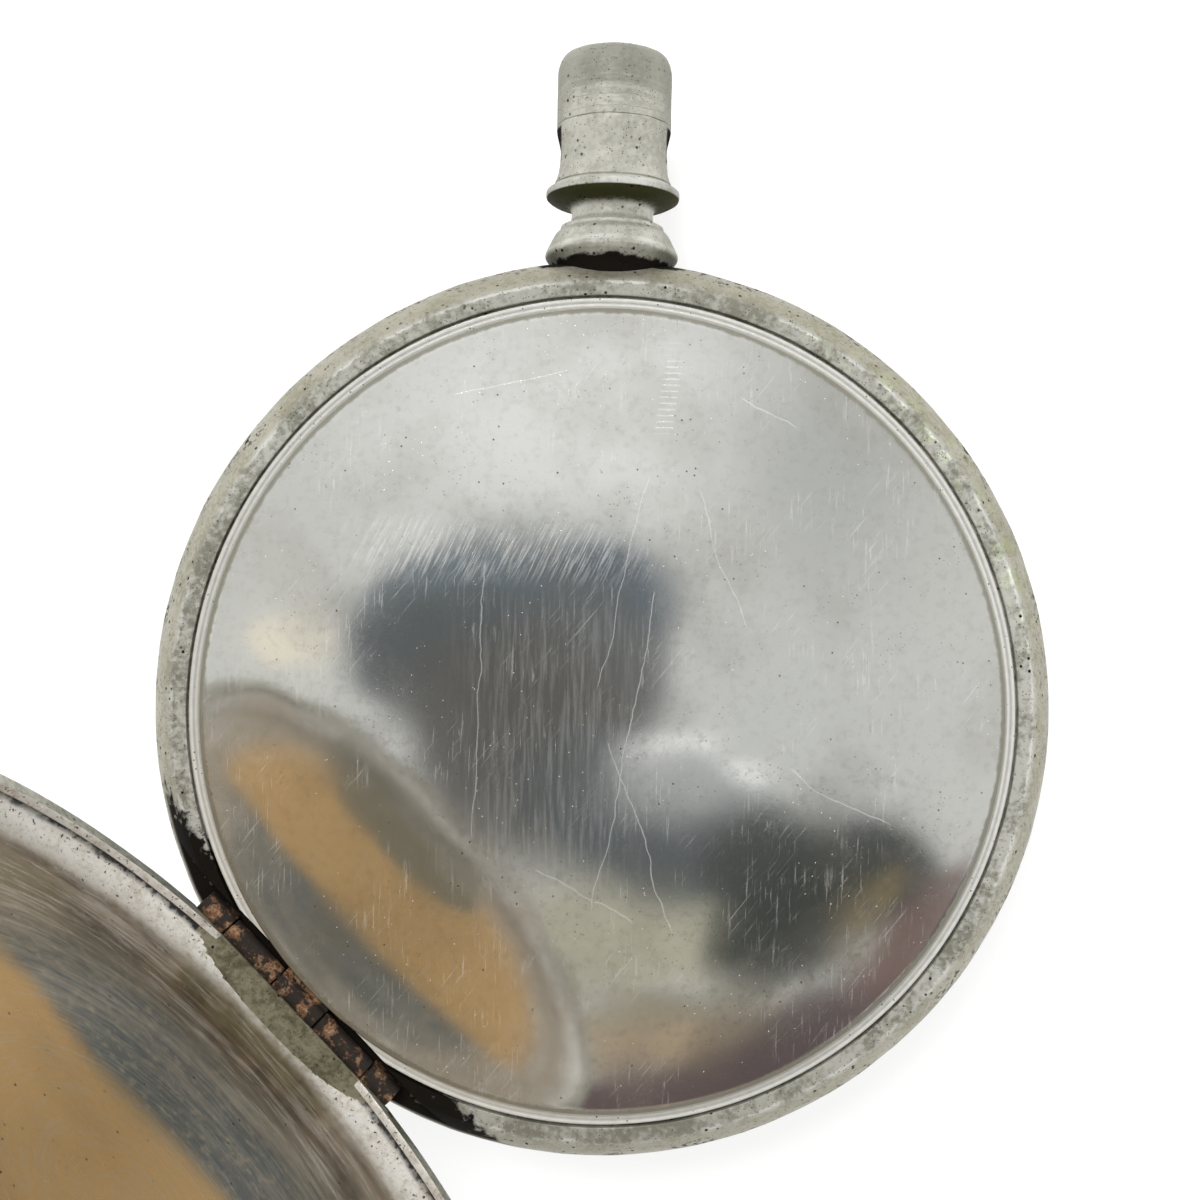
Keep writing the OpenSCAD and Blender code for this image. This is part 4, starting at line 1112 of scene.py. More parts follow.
@dataclass
class CaseSizes:
    """The levels and radii of the case, in millimetres."""

    case_r: float = 28.0
    band_h: float = 8.3
    lid_r: float = 26.1
    lid_h: float = 4.1
    lid_wall: float = 0.5
    lid_dome: float = 200.0
    lid_flat: float = 0.4
    recess_r: float = 25.2
    inner_r: float = 23.15
    lip_r: float = 22.6
    lip_low: float = 6.5
    lip_high: float = 7.3
    bezel_recess: float = 0.6
    cuvette_recess: float = 0.5

    @property
    def front(self) -> float:
        """Height of the front lid's seat."""
        return self.lid_h - self.lid_flat

    @property
    def back(self) -> float:
        """Height of the back lid's seat."""
        return self.front + self.band_h

    @property
    def middle(self) -> float:
        """Height of the band's middle, where the pendant stands."""
        return self.front + self.band_h / 2

    def lay(self) -> Matrix:
        """The motion that lays a piece turned round Z along the pendant's axis."""
        return Matrix.Translation((0, 0, self.middle * MM)) @ rotation(-90, "X")

    def band_arc(self) -> tuple[float, float]:
        """Radius of the band's outer curve and the radius at which its centre lies."""
        bulge = self.case_r - self.lid_r
        radius = (self.band_h ** 2 / 4 + bulge ** 2) / (2 * bulge)
        return radius, self.case_r - radius


CASE = CaseSizes()


@dataclass
class Joint:
    """The lid joint: a pin through knuckles of the case, the lid and the cuvette."""

    angle: float = 224.6
    reach: float = 25.45
    drop: float = 0.25
    knuckle_r: float = 0.75
    pin_r: float = 0.35
    case_l: float = 2.2
    lid_l: float = 4.1
    middle_l: float = 3.5
    gap: float = 0.1
    clear: float = 0.1
    chord: float = 24.3
    opened: float = 90.0

    @classmethod
    def outward(cls) -> Point:
        """The direction from the case axis to the joint."""
        return (math.cos(math.radians(cls.angle)), math.sin(math.radians(cls.angle)))

    @classmethod
    def turn(cls) -> Matrix:
        """The turn from X to the joint."""
        return rotation(cls.angle, "Z")

    @classmethod
    def frame_at(cls, height: float) -> Matrix:
        """The joint's frame: X outward, Y along the pin."""
        return cls.turn() @ Matrix.Translation((cls.reach * MM, 0, height * MM))

    @classmethod
    def swing(cls, angle: float, height: float) -> Matrix:
        """The motion that opens a lid from its closed place."""
        place = cls.frame_at(height)
        return place @ rotation(angle, "Y") @ place.inverted()

    @classmethod
    def lid_coordinates(cls, net: Net, at: Socket) -> Socket:
        """A point of the open lid as (along the pin, out from it, up)."""
        return net.leaning(at, -cls.angle - 90)

    def spans(self) -> list[Point]:
        """Start and end of each knuckle along the pin, in order."""
        lengths = [self.case_l, self.lid_l, self.middle_l, self.lid_l, self.case_l]
        at = -(sum(lengths) + self.gap * (len(lengths) - 1)) / 2
        out = []
        for length in lengths:
            out.append((at, at + length))
            at += length + self.gap
        return out

    def knuckle(self, index: int, height: float) -> Piece:
        """One knuckle with its bore and softened ends.

        Args:
            index: Which, counted along the pin.
            height: The pin's height.

        Returns:
            The object.
        """
        start, end = self.spans()[index]
        inner, outer, soft = self.pin_r + 0.03, self.knuckle_r, 0.12
        outline = softened([(inner, start), (outer, start, soft), (outer, end, soft), (inner, end)], 4)
        piece = revolved("knuckle", subdivided(outline, 0.3), 40)
        wavy(piece, 0.03, 0.9, index * 3.1)
        return turned(piece, self.frame_at(height) @ rotation(-90, "X"))

    def pin(self, height: float) -> Piece:
        """The pin, its ends just domed inside the outer knuckles.

        Args:
            height: The pin's height.

        Returns:
            The object.
        """
        half, radius, soft = self.spans()[-1][1], self.pin_r, 0.08
        corners = [(0, -half), (radius, -half, soft), (radius, half, soft), (0, half)]
        piece = revolved("pin", softened(corners, 3, False), 24, closed=False)
        return turned(piece, self.frame_at(height) @ rotation(-90, "X"))

    def foot(self, index: int, height: float, side: int) -> Piece:
        """The foot that carries a case knuckle in its notch.

        Args:
            index: Which knuckle.
            height: The pin's height.
            side: 1 where the foot hangs below the pin, -1 where it stands above.

        Returns:
            The object.
        """
        start, end = self.spans()[index]
        deep = self.knuckle_r + self.clear
        low, high = (-deep, 0.0) if side > 0 else (0.0, deep)
        piece = block((-self.knuckle_r, start, low), (0, end, high))
        return turned(piece, self.frame_at(height))

    def gutter(self, height: float) -> Piece:
        """What a lid leaves clear for the tube.

        Args:
            height: The pin's height.

        Returns:
            The object.
        """
        wide, half = self.knuckle_r + self.clear, self.spans()[-1][1] + self.clear
        outline = [(0, -half), (wide, -half), (wide, half), (0, half)]
        piece = revolved("gutter", outline, 48, closed=False)
        return turned(piece, self.frame_at(height) @ rotation(-90, "X"))

    def build(self, finish: Material) -> None:
        """Builds both joints.

        Args:
            finish: The joints' material.
        """
        back, front = CASE.back - self.drop, CASE.front + self.drop
        for side, height, count in ((1, back, (0, 4)), (-1, front, (0, 2, 4))):
            where = "back" if side > 0 else "front"
            fixed = [self.knuckle(i, height) for i in count] + [self.foot(i, height, side) for i in count]
            case_tubes = shaded(joined(f"{where}_joint_case_tubes", fixed))
            dressed(case_tubes, finish, "case", [f"{where}_case_knuckles"])
            tubes = joined(f"{where}_joint_lid_tubes", [self.knuckle(i, height) for i in (1, 3)])
            if side > 0:
                turned(tubes, self.swing(self.opened, height))
            dressed(shaded(tubes), finish, f"{where}_lid", [f"{where}_lid_knuckles"])
            if side > 0:
                pin = dressed(shaded(self.pin(height)), finish, "case", ["back_joint_pin"])
                pin.name = "back_pin"


JOINT = Joint()


@dataclass
class CaseBand:
    """The band that carries everything, with its recesses, joint notches and spring channel."""

    seat_edge: float = 0.10
    outer_edge: float = 0.16
    facets: int = 540
    wear: float = 0.035
    channel_r: float = 25.9
    channel_low: float = 7.4
    channel_high: float = 9.22
    slot: tuple = ((-2.02, 24.18), (2.02, 25.55))
    slot_angles: tuple = (0.0, 159.6)

    def outline(self) -> list[Point]:
        """The band's section as (radius, height), counter-clockwise."""
        radius, centre = CASE.band_arc()
        swing = math.degrees(math.asin(CASE.band_h / 2 / radius))
        bulge = arc((centre, CASE.middle), radius, -swing, swing, 40)
        ledge = CASE.back - CASE.cuvette_recess
        inside = [
            (CASE.recess_r, CASE.back, self.seat_edge),
            (CASE.recess_r, ledge + 0.02, 0.04),
            (CASE.inner_r, ledge, 0.05),
            (CASE.inner_r, self.channel_high, 0.05),
            (self.channel_r, self.channel_high, 0.05),
            (self.channel_r, self.channel_low, 0.05),
            (CASE.inner_r, self.channel_low, 0.03),
            (CASE.inner_r, CASE.lip_high, 0.03),
            (CASE.lip_r, CASE.lip_high, 0.05),
            (CASE.lip_r, CASE.lip_low, 0.05),
            (CASE.inner_r, CASE.lip_low, 0.05),
            (CASE.inner_r, CASE.front + CASE.bezel_recess, 0.05),
            (CASE.recess_r, CASE.front + CASE.bezel_recess, 0.04),
            (CASE.recess_r, CASE.front, self.seat_edge),
        ]
        corners = [(*bulge[0], self.outer_edge), *bulge[1:-1], (*bulge[-1], self.outer_edge), *inside]
        return subdivided(softened(corners), 0.35)

    def build(self, finish: Material) -> None:
        """Builds the band.

        Args:
            finish: Its material.
        """
        piece = revolved("band", self.outline(), self.facets)
        wavy(piece, self.wear, 3.2, 5.0)
        half, deep = CASE.case_r + 1, JOINT.drop + JOINT.knuckle_r + JOINT.clear
        for low, high in ((CASE.back - deep, CASE.back + 1), (CASE.front - 1, CASE.front + deep)):
            combine(piece, turned(block((JOINT.chord, -half, low), (half, half, high)), JOINT.turn()))
        (left, near), (right, far) = self.slot
        for angle in self.slot_angles:
            slot = block((left, near, CASE.front - 1), (right, far, self.channel_high - 0.1))
            combine(piece, turned(slot, rotation(angle, "Z")))
        dressed(shaded(piece), finish, "case", ["case_centre"])


@dataclass
class PendantTube:
    """The pendant: domed foot, scotia neck, flared collar and barrel with the two bow holes."""

    foot_r: float = 4.25
    foot_h: float = 2.2
    neck_r: float = 2.55
    neck_h: float = 1.7
    collar_r: float = 4.2
    collar_t: float = 0.64
    waist_r: float = 3.35
    waist_drop: float = 2.2
    mouth_r: float = 3.6
    barrel_h: float = 3.9
    bore_r: float = 2.0
    hole_r: float = 0.9
    hole_drop: float = 1.2
    countersink: float = 1.02
    facets: int = 160

    @property
    def top(self) -> float:
        """Distance of the barrel's top from the case axis."""
        return CASE.case_r + self.foot_h + self.neck_h + self.collar_t + self.barrel_h

    def outline(self) -> list[Point]:
        """The half section as (radius, distance from the case axis), from the foot up."""
        base, step = CASE.case_r, CASE.case_r + self.foot_h
        neck = step + self.neck_h
        collar = neck + self.collar_t
        foot_r, neck_r, collar_r, waist_r = self.foot_r, self.neck_r, self.collar_r, self.waist_r
        corners = [
            (foot_r - 0.8, base - 1.2), (foot_r - 0.6, base - 0.5, 0.3), (foot_r, base + 0.3, 0.25),
            (foot_r - 0.35, base + 1.05, 0.6), (neck_r + 1.05, step - 0.55, 0.5),
            (neck_r + 0.72, step - 0.25, 0.2), (neck_r + 0.72, step - 0.02, 0.08),
            (neck_r + 0.42, step + 0.03, 0.1), (neck_r + 0.05, step + 0.3, 0.4),
            (neck_r, step + self.neck_h / 2, 0.5), (neck_r + 0.12, neck - 0.5, 0.4),
            (collar_r - 0.45, neck - 0.16, 0.5), (collar_r, neck + 0.12, 0.1),
            (collar_r, collar - 0.14, 0.1), (collar_r - 0.3, collar + 0.08, 0.2),
            (waist_r + 0.4, collar + 0.2, 0.1), (waist_r + 0.12, collar + 0.85, 0.8),
            (waist_r, self.top - self.waist_drop, 0.9), (self.mouth_r, self.top - 0.5, 0.6),
            (self.mouth_r, self.top, 0.04), (self.bore_r, self.top, 0.07), (self.bore_r, neck + 0.4),
        ]
        return [(0.0, base - 1.2), *softened(corners, 6, False), (0.0, neck + 0.3)]

    def build(self, finish: Material) -> None:
        """Builds the pendant.

        Args:
            finish: Its material.
        """
        piece = revolved("pendant_tube", subdivided(self.outline(), 0.25, False), self.facets, closed=False)
        wavy(piece, 0.03, 1.6, 2.0)
        turned(piece, CASE.lay())
        mouth, floor = self.mouth_r + 0.4, self.bore_r - 0.25
        for side in (-1, 1):
            outline = [
                (0, floor), (self.hole_r, floor), (self.hole_r, self.waist_r - 0.35),
                (self.countersink, self.waist_r + 0.15), (self.countersink, mouth), (0, mouth),
            ]
            hole = revolved("bow_hole", outline, 48, closed=False)
            place = Matrix.Translation((0, (self.top - self.hole_drop) * MM, CASE.middle * MM))
            combine(piece, turned(hole, place @ rotation(90 * side, "Y")))
        dressed(shaded(piece, 40), finish, "case", ["pendant"])


@dataclass
class PushPiece:
    """The plain push-piece that opens the front lid: a cap as wide as the pendant, a stem and a rod."""

    radius: float = 3.6
    seam: float = 0.02
    height: float = 4.5
    edge: float = 0.8
    stem_r: float = 1.7
    stem_l: float = 4.0
    rod_r: float = 1.0
    rod_end: float = 24.87
    facets: int = 160

    def build(self, tube: PendantTube, finish: Material) -> None:
        """Builds the push-piece.

        Args:
            tube: The pendant it stands in.
            finish: Its material.
        """
        low, top, stem = tube.top + self.seam, tube.top + self.height, tube.top - self.stem_l
        outline = softened([
            (0, top), (self.radius - 0.35, top, 0.7), (self.radius, top - self.edge, 0.8),
            (self.radius, low, 0.06), (self.stem_r, low, 0.05), (self.stem_r, stem, 0.1),
            (self.rod_r, stem), (self.rod_r, self.rod_end, 0.1), (0, self.rod_end),
        ], 6, False)
        piece = revolved("push_cap", subdivided(outline, 0.25, False), self.facets, closed=False)
        wavy(piece, 0.02, 1.4, 7.0)
        dressed(shaded(turned(piece, CASE.lay()), 40), finish, "push", ["push_piece"])


@dataclass
class Lid:
    """A domed lid with its straight joint bar."""

    name: str
    node: str
    body: str
    flat: float = 0.0
    facets: int = 360
    bar: float = 24.45
    bar_l: float = 17.9
    bury: float = 0.02
    bead_w: float = 0.42
    bead_h: float = 0.55
    beaded: bool = True
    seat_gap: float = 0.07

    def surface(self, drawn_in: float) -> list[Point]:
        """The lid's curve from its centre to its rim, drawn in by a distance.

        Args:
            drawn_in: 0 for the outside, the wall for the inside.

        Returns:
            (radius, height over the seat) points.
        """
        dome, rim, high = CASE.lid_dome, CASE.lid_r, CASE.lid_h
        edge = (2 * dome * high - rim ** 2 - high ** 2) / (2 * (dome - rim))
        edge_x, centre = rim - edge, high - dome
        lean = math.degrees(math.atan2(dome - high, edge_x))
        crown = arc((0, centre), dome - drawn_in, 90, lean, 26)
        side = arc((edge_x, 0), edge - drawn_in, lean, 0, 14)
        points = crown + side[1:]
        top = CASE.lid_h - self.flat - drawn_in
        return [(r, min(h, top)) for r, h in points]

    def closed_shape(self) -> Piece:
        """The lid over a seat at zero, dome up."""
        outside, inside = self.surface(0.0), self.surface(CASE.lid_wall)
        seat = CASE.lid_r - CASE.lid_wall
        bead = softened([
            (seat, 0.0), (seat - self.bead_w, 0.0, 0.08), (seat - self.bead_w, self.bead_h, 0.1),
            (seat - 0.12, self.bead_h + 0.06),
        ], 4, False)
        loop = outside + inside[::-1]
        if self.beaded:
            loop = outside + bead + [p for p in inside[::-1] if p[1] > self.bead_h + 0.15]
        loop = [(r, max(h, self.seat_gap)) for r, h in loop]
        piece = revolved(self.name, subdivided(loop, 0.8, False), self.facets, closed=False)
        buried = self.surface(self.bury)
        solid = revolved("envelope", [*buried, (0, 0)], 180, closed=False)
        half = self.bar_l / 2
        strip = block((self.bar, -half, self.seat_gap), (CASE.lid_r + 1, half, CASE.lid_h))
        bar = combine(solid, turned(strip, JOINT.turn()), Cut.COMMON)
        combine(piece, bar, Cut.JOIN)
        return combine(piece, JOINT.gutter(-JOINT.drop))


@dataclass
class BackLid(Lid):
    """The back lid, which stands open and shows its inside."""

    def build(self, outside: Material, inner: Sequence[Material]) -> None:
        """Builds the lid.

        Args:
            outside: The material of its outside.
            inner: The materials of its inside, its rim and its joint bar.
        """
        piece = self.closed_shape()
        wavy(piece, 0.03, 6.0, 3.0)
        faces = self.sorted_faces(piece.data)
        pin = CASE.back - JOINT.drop
        turned(piece, JOINT.swing(JOINT.opened, pin) @ Matrix.Translation((0, 0, CASE.back * MM)))
        dressed(shaded(piece), outside, self.body, [self.node])
        for finish in inner:
            piece.data.materials.append(finish)
        piece.data.polygons.foreach_set("material_index", faces)

    def sorted_faces(self, mesh: bpy.types.Mesh) -> list[int]:
        """Which material each face takes: 0 outside, 1 inside, 2 the rim, 3 the joint bar.

        Args:
            mesh: The lid's mesh, closed over a seat at zero.

        Returns:
            One number for each face.
        """
        out = Joint.outward()
        numbers = []
        for face in mesh.polygons:
            middle = face.center / MM
            across = middle.x * out[0] + middle.y * out[1]
            bar = across > self.bar - 0.03 and middle.z < 2.2
            rim = middle.z < self.seat_gap + 0.05
            inward = face.normal.x * middle.x + face.normal.y * middle.y < -0.05
            inside = face.normal.z < -0.02 or inward
            numbers.append(3 if bar else 2 if rim else 1 if inside else 0)
        return numbers


@dataclass
class FrontLid(Lid):
    """The front lid, closed, on whose flat the watch lies."""

    def build(self, outside: Material) -> None:
        """Builds the lid.

        Args:
            outside: Its material.
        """
        piece = self.closed_shape()
        flip = Matrix.Translation((0, 0, CASE.front * MM)) @ Matrix.Scale(-1, 4, (0, 0, 1))
        piece.data.flip_normals()
        dressed(shaded(turned(piece, flip)), outside, self.body, [self.node])


@dataclass
class Cuvette:
    """The inner dust cover: a polished dome on a turned flange."""

    radius: float = 24.35
    step: float = 0.45
    crown: float = 2.05
    wall: float = 0.35
    flange_r: float = 25.05
    flange_t: float = 0.4
    facets: int = 480

    def build(self, dome: Material, ring: Material, joint: Material) -> None:
        """Builds the cuvette with its flange and knuckle.

        Args:
            dome: The dome's material.
            ring: The flange's material.
            joint: The knuckle's material.
        """
        seat = CASE.back - CASE.cuvette_recess
        top = seat + self.flange_t
        edge = top + self.step
        curve = (self.radius ** 2 + self.crown ** 2) / (2 * self.crown)
        centre = edge + self.crown - curve
        lean = math.degrees(math.acos((self.radius - 0.12) / curve))
        crown = arc((0, centre), curve, 90, lean, 60)
        lip = [(self.radius - 0.06, edge + 0.02), (self.radius, edge - 0.03), (self.radius, top)]
        inner_r, inner = self.radius - self.wall, curve - self.wall
        inner_lean = math.degrees(math.acos((inner_r - 0.05) / inner))
        under = arc((0, centre), inner, inner_lean, 90, 40)
        dome_piece = revolved("cuvette_dome", [*crown, *lip, (inner_r, top), *under], self.facets, False)
        wavy(dome_piece, 0.012, 5.5, 11.0)
        dressed(shaded(dome_piece, 30), dome, "cuvette", ["cuvette"])
        flange = revolved("cuvette_flange", softened([
            (inner_r, seat), (self.flange_r, seat, 0.05), (self.flange_r, top, 0.06),
            (self.radius + 0.3, top - 0.05, 0.05), (self.radius + 0.02, top - 0.05),
            (inner_r, top - 0.05),
        ]), self.facets)
        half = CASE.case_r
        cutter = block((JOINT.chord - JOINT.clear, -half, seat - 1), (half, half, seat + 2))
        combine(flange, turned(cutter, JOINT.turn()))
        dressed(shaded(flange, 30), ring, "cuvette")
        self.build_tube(joint, seat)

    def build_tube(self, joint: Material, seat: float) -> None:
        """Builds the cuvette's knuckle and the tongue that carries it.

        Args:
            joint: The knuckle's material.
            seat: Height of the flange's underside.
        """
        start, end = JOINT.spans()[2]
        tube = JOINT.knuckle(2, CASE.back - JOINT.drop)
        reach = JOINT.reach - JOINT.chord + JOINT.clear
        tongue = block((-reach, start, 0), (-JOINT.pin_r, end, self.flange_t - 0.05))
        turned(tongue, JOINT.frame_at(seat))
        piece = shaded(joined("cuvette_tube", [tube, tongue]))
        dressed(piece, joint, "cuvette", ["cuvette_knuckle"])


@dataclass
class JointGrime:
    """Crumbs of old black dirt caught along the joint."""

    count: int = 90
    largest: float = 0.20
    half: float = 10.5
    seed: int = 7

    def crumb(self, made: bmesh.types.BMesh, at: Vector, size: float) -> None:
        """Adds one crumb.

        Args:
            made: The mesh data it is added to.
            at: Its centre, in millimetres.
            size: Its radius, in millimetres.
        """
        ball = bmesh.ops.create_icosphere(made, subdivisions=2, radius=size * MM)
        for vertex in ball["verts"]:
            swell = 1 + 0.45 * noise.noise(vertex.co / (size * MM) * 1.3 + at)
            vertex.co = vertex.co * swell + at * MM

    def build(self, finish: Material) -> None:
        """Builds the grime.

        Args:
            finish: Its material.
        """
        rng = random.Random(self.seed)
        made = bmesh.new()
        turn = JOINT.turn()
        floor = CASE.back - JOINT.drop - JOINT.knuckle_r - JOINT.clear
        for _ in range(self.count):
            along = rng.uniform(-self.half, self.half)
            near = rng.random() < 0.6
            across = JOINT.chord + (rng.uniform(0.05, 0.3) if near else rng.uniform(0.2, 1.6))
            size = self.largest * rng.uniform(0.3, 1.0) ** 1.4
            if abs(along) < JOINT.spans()[-1][1] + 0.2:
                across = JOINT.chord + rng.uniform(0.02, 0.16)
                size = min(size, 0.12)
            if math.hypot(along, across) < CASE.lid_r + 0.6:
                self.crumb(made, turn @ Vector((across, along, floor + size * 0.5)), size)
        piece = as_object("joint_grime", made)
        dressed(shaded(piece, 80), finish, "case")


@dataclass
class DialFurniture:
    """What is painted on the dial: plain numerals, the minute track and the seconds track."""

    dial_face: float = 4.35
    track_r: float = 20.6
    numeral_r: float = 16.9
    numeral_h: float = 3.3
    stroke: float = 0.5
    seconds_at: Point = (-10.0, 0.0)
    seconds_r: float = 4.9
    seconds_floor: float = 4.5
    paint: float = 0.02
    roman: tuple = ("XII", "I", "II", "III", "IIII", "V", "VI", "VII", "VIII", "IX", "X", "XI")
    fine: float = 0.07

    def bar(self, made: bmesh.types.BMesh, a: Vector, b: Vector, wide: float, face: float) -> None:
        """Paints one stroke as a thin raised bar on the dial's face.

        Args:
            made: The mesh data it is added to.
            a: Its start, in millimetres.
            b: Its end, in millimetres.
            wide: Its width.
            face: Height of the dial's face there.
        """
        side = (b - a).orthogonal().normalized() * wide / 2
        corners = [a - side, b - side, b + side, a + side]
        low = [made.verts.new((p.x * MM, p.y * MM, (face - self.paint) * MM)) for p in corners]
        high = [made.verts.new((p.x * MM, p.y * MM, (face + self.paint) * MM)) for p in corners]
        made.faces.new(low)
        made.faces.new(high[::-1])
        for i in range(4):
            j = (i + 1) % 4
            made.faces.new((low[i], high[i], high[j], low[j]))

    def glyph(self, letter: str) -> tuple[float, list[tuple[Point, Point, float]]]:
        """The strokes of one numeral letter in a box one unit high.

        Args:
            letter: I, V or X.

        Returns:
            Its width and its strokes as (start, end, weight).
        """
        if letter == "I":
            serifs = [((0.0, h), (0.30, h), 0.25) for h in (0.02, 0.98)]
            return 0.30, [((0.15, 0.0), (0.15, 1.0), 1.0), *serifs]
        if letter == "V":
            strokes = [((0.06, 1.0), (0.33, 0.0), 1.0), ((0.60, 1.0), (0.33, 0.0), 0.35)]
            return 0.66, [*strokes, ((0.0, 0.98), (0.66, 0.98), 0.25)]
        serifs = [((-0.02 * 0.66, h), (0.66, h), 0.25) for h in (0.02, 0.98)]
        return 0.66, [((0.06, 1.0), (0.60, 0.0), 1.0), ((0.60, 1.0), (0.06, 0.0), 0.35), *serifs]

    def build(self, ink: Material) -> None:
        """Builds the dial's painting.

        Args:
            ink: Its material.
        """
        made = bmesh.new()
        middle, small = Vector((0, 0)), Vector(self.seconds_at)
        for minute in range(60):
            angle = -TURN * minute / 60
            out = Vector((math.cos(angle), math.sin(angle)))
            fifth = minute % 5 == 0
            wide, deep = (0.28, 0.95) if fifth else (0.09, 0.6)
            self.bar(made, out * self.track_r, out * (self.track_r - deep), wide, self.dial_face)
            inner = self.seconds_r - (0.75 if fifth else 0.4)
            self.bar(made, small + out * self.seconds_r, small + out * inner, self.fine, self.seconds_floor)
        for radius, at, face in (
            (self.track_r, middle, self.dial_face), (self.track_r - 0.6, middle, self.dial_face),
            (self.seconds_r, small, self.seconds_floor),
        ):
            turns = [TURN * i / 180 for i in range(181)]
            ring = [at + Vector((radius * math.cos(a), radius * math.sin(a))) for a in turns]
            for a, b in zip(ring, ring[1:]):
                self.bar(made, a, b, self.fine, face)
        for hour, text in enumerate(self.roman):
            if hour != 6:
                self.numeral(made, text, TURN * hour / 12)
        dressed(as_object("dial_painting", made), ink, "case")

    def numeral(self, made: bmesh.types.BMesh, text: str, turn: float) -> None:
        """Paints one hour, its foot toward the centre.

        Args:
            made: The mesh data it is added to.
            text: The numeral.
            turn: Its angle past 12 o'clock, clockwise as the dial is read.
        """
        glyphs = [self.glyph(letter) for letter in text]
        gap = 0.12
        width = sum(g[0] for g in glyphs) + gap * (len(glyphs) - 1)
        # read from the front, 12 lies at +X and 3 at +Y
        up = Vector((math.cos(turn), math.sin(turn)))
        right = Vector((-math.sin(turn), math.cos(turn)))
        pen = -width / 2
        for wide, strokes in glyphs:
            for *points, weight in strokes:
                ends = [
                    up * (self.numeral_r + (y - 0.5) * self.numeral_h)
                    + right * ((pen + x) * self.numeral_h * 0.8)
                    for x, y in points
                ]
                self.bar(made, *ends, self.stroke * weight, self.dial_face)
            pen += wide + gap


class Metal(Enum):
    """The metals and stones of the movement and dial side, by the record's slots."""

    GILT = "gilt_brass"
    STEEL = "steel"
    BLUED = "spring_steel"
    RUBY = "ruby"
    BAND = "nickel_band"
    POLISHED = "polished_nickel"


@dataclass
class Movement:
    """The nodes that keep their CAD shape: the movement, the dial side and the case springs."""

    finishes: dict = field(default_factory=lambda: {
        Metal.GILT: MovementMetal("gilt_brass", (0.74, 0.53, 0.23), (0.60, 0.40, 0.16), 0.28, 1.0, 0.5),
        Metal.STEEL: MovementMetal("polished_steel", (0.58, 0.58, 0.59), (0.42, 0.42, 0.44), 0.16, 1.0, 0.1),
        Metal.BLUED: MovementMetal("blued_steel", (0.05, 0.075, 0.19), (0.03, 0.05, 0.12), 0.18, 1.0, 0.1),
        Metal.RUBY: MovementMetal("ruby", (0.50, 0.02, 0.06), (0.36, 0.01, 0.05), 0.08, 0.0, 0.0),
        Metal.BAND: MovementMetal("bezel_metal", (0.55, 0.54, 0.49), (0.36, 0.35, 0.30), 0.22, 1.0, 0.3),
        Metal.POLISHED: MovementMetal("bright_metal", (0.70, 0.70, 0.68), (0.52, 0.51, 0.47), 0.12, 1.0, 0.1),
    })

    def build(self, enamel: Material, glass: Material, joint: Material) -> None:
        """Dresses every node that shows its CAD shape.

        Args:
            enamel: The dial's material.
            glass: The crystal's material.
            joint: The joint pin's material.
        """
        made = {metal.value: finish.material() for metal, finish in self.finishes.items()}
        made |= {"enamel": enamel, "crystal_glass": glass, "joint_metal": joint}
        slots = {row["node"]: row["material_slot"] for row in frame["record"]["subparts"]}
        for name, node in frame["nodes"].items():
            if node.hide_render:
                continue
            node.data.materials.clear()
            node.data.materials.append(made[slots[name]])
            log.info("%s: dressed as %s", name, slots[name])


# ---------------------------------------------------------------- studio


@dataclass
class Card:
    """A soft patch of the room that polished metal mirrors, in slopes from straight up."""

    at: Point
    half: Point
    colour: tuple
    turn: float = 0.0
    soft: float = 0.25


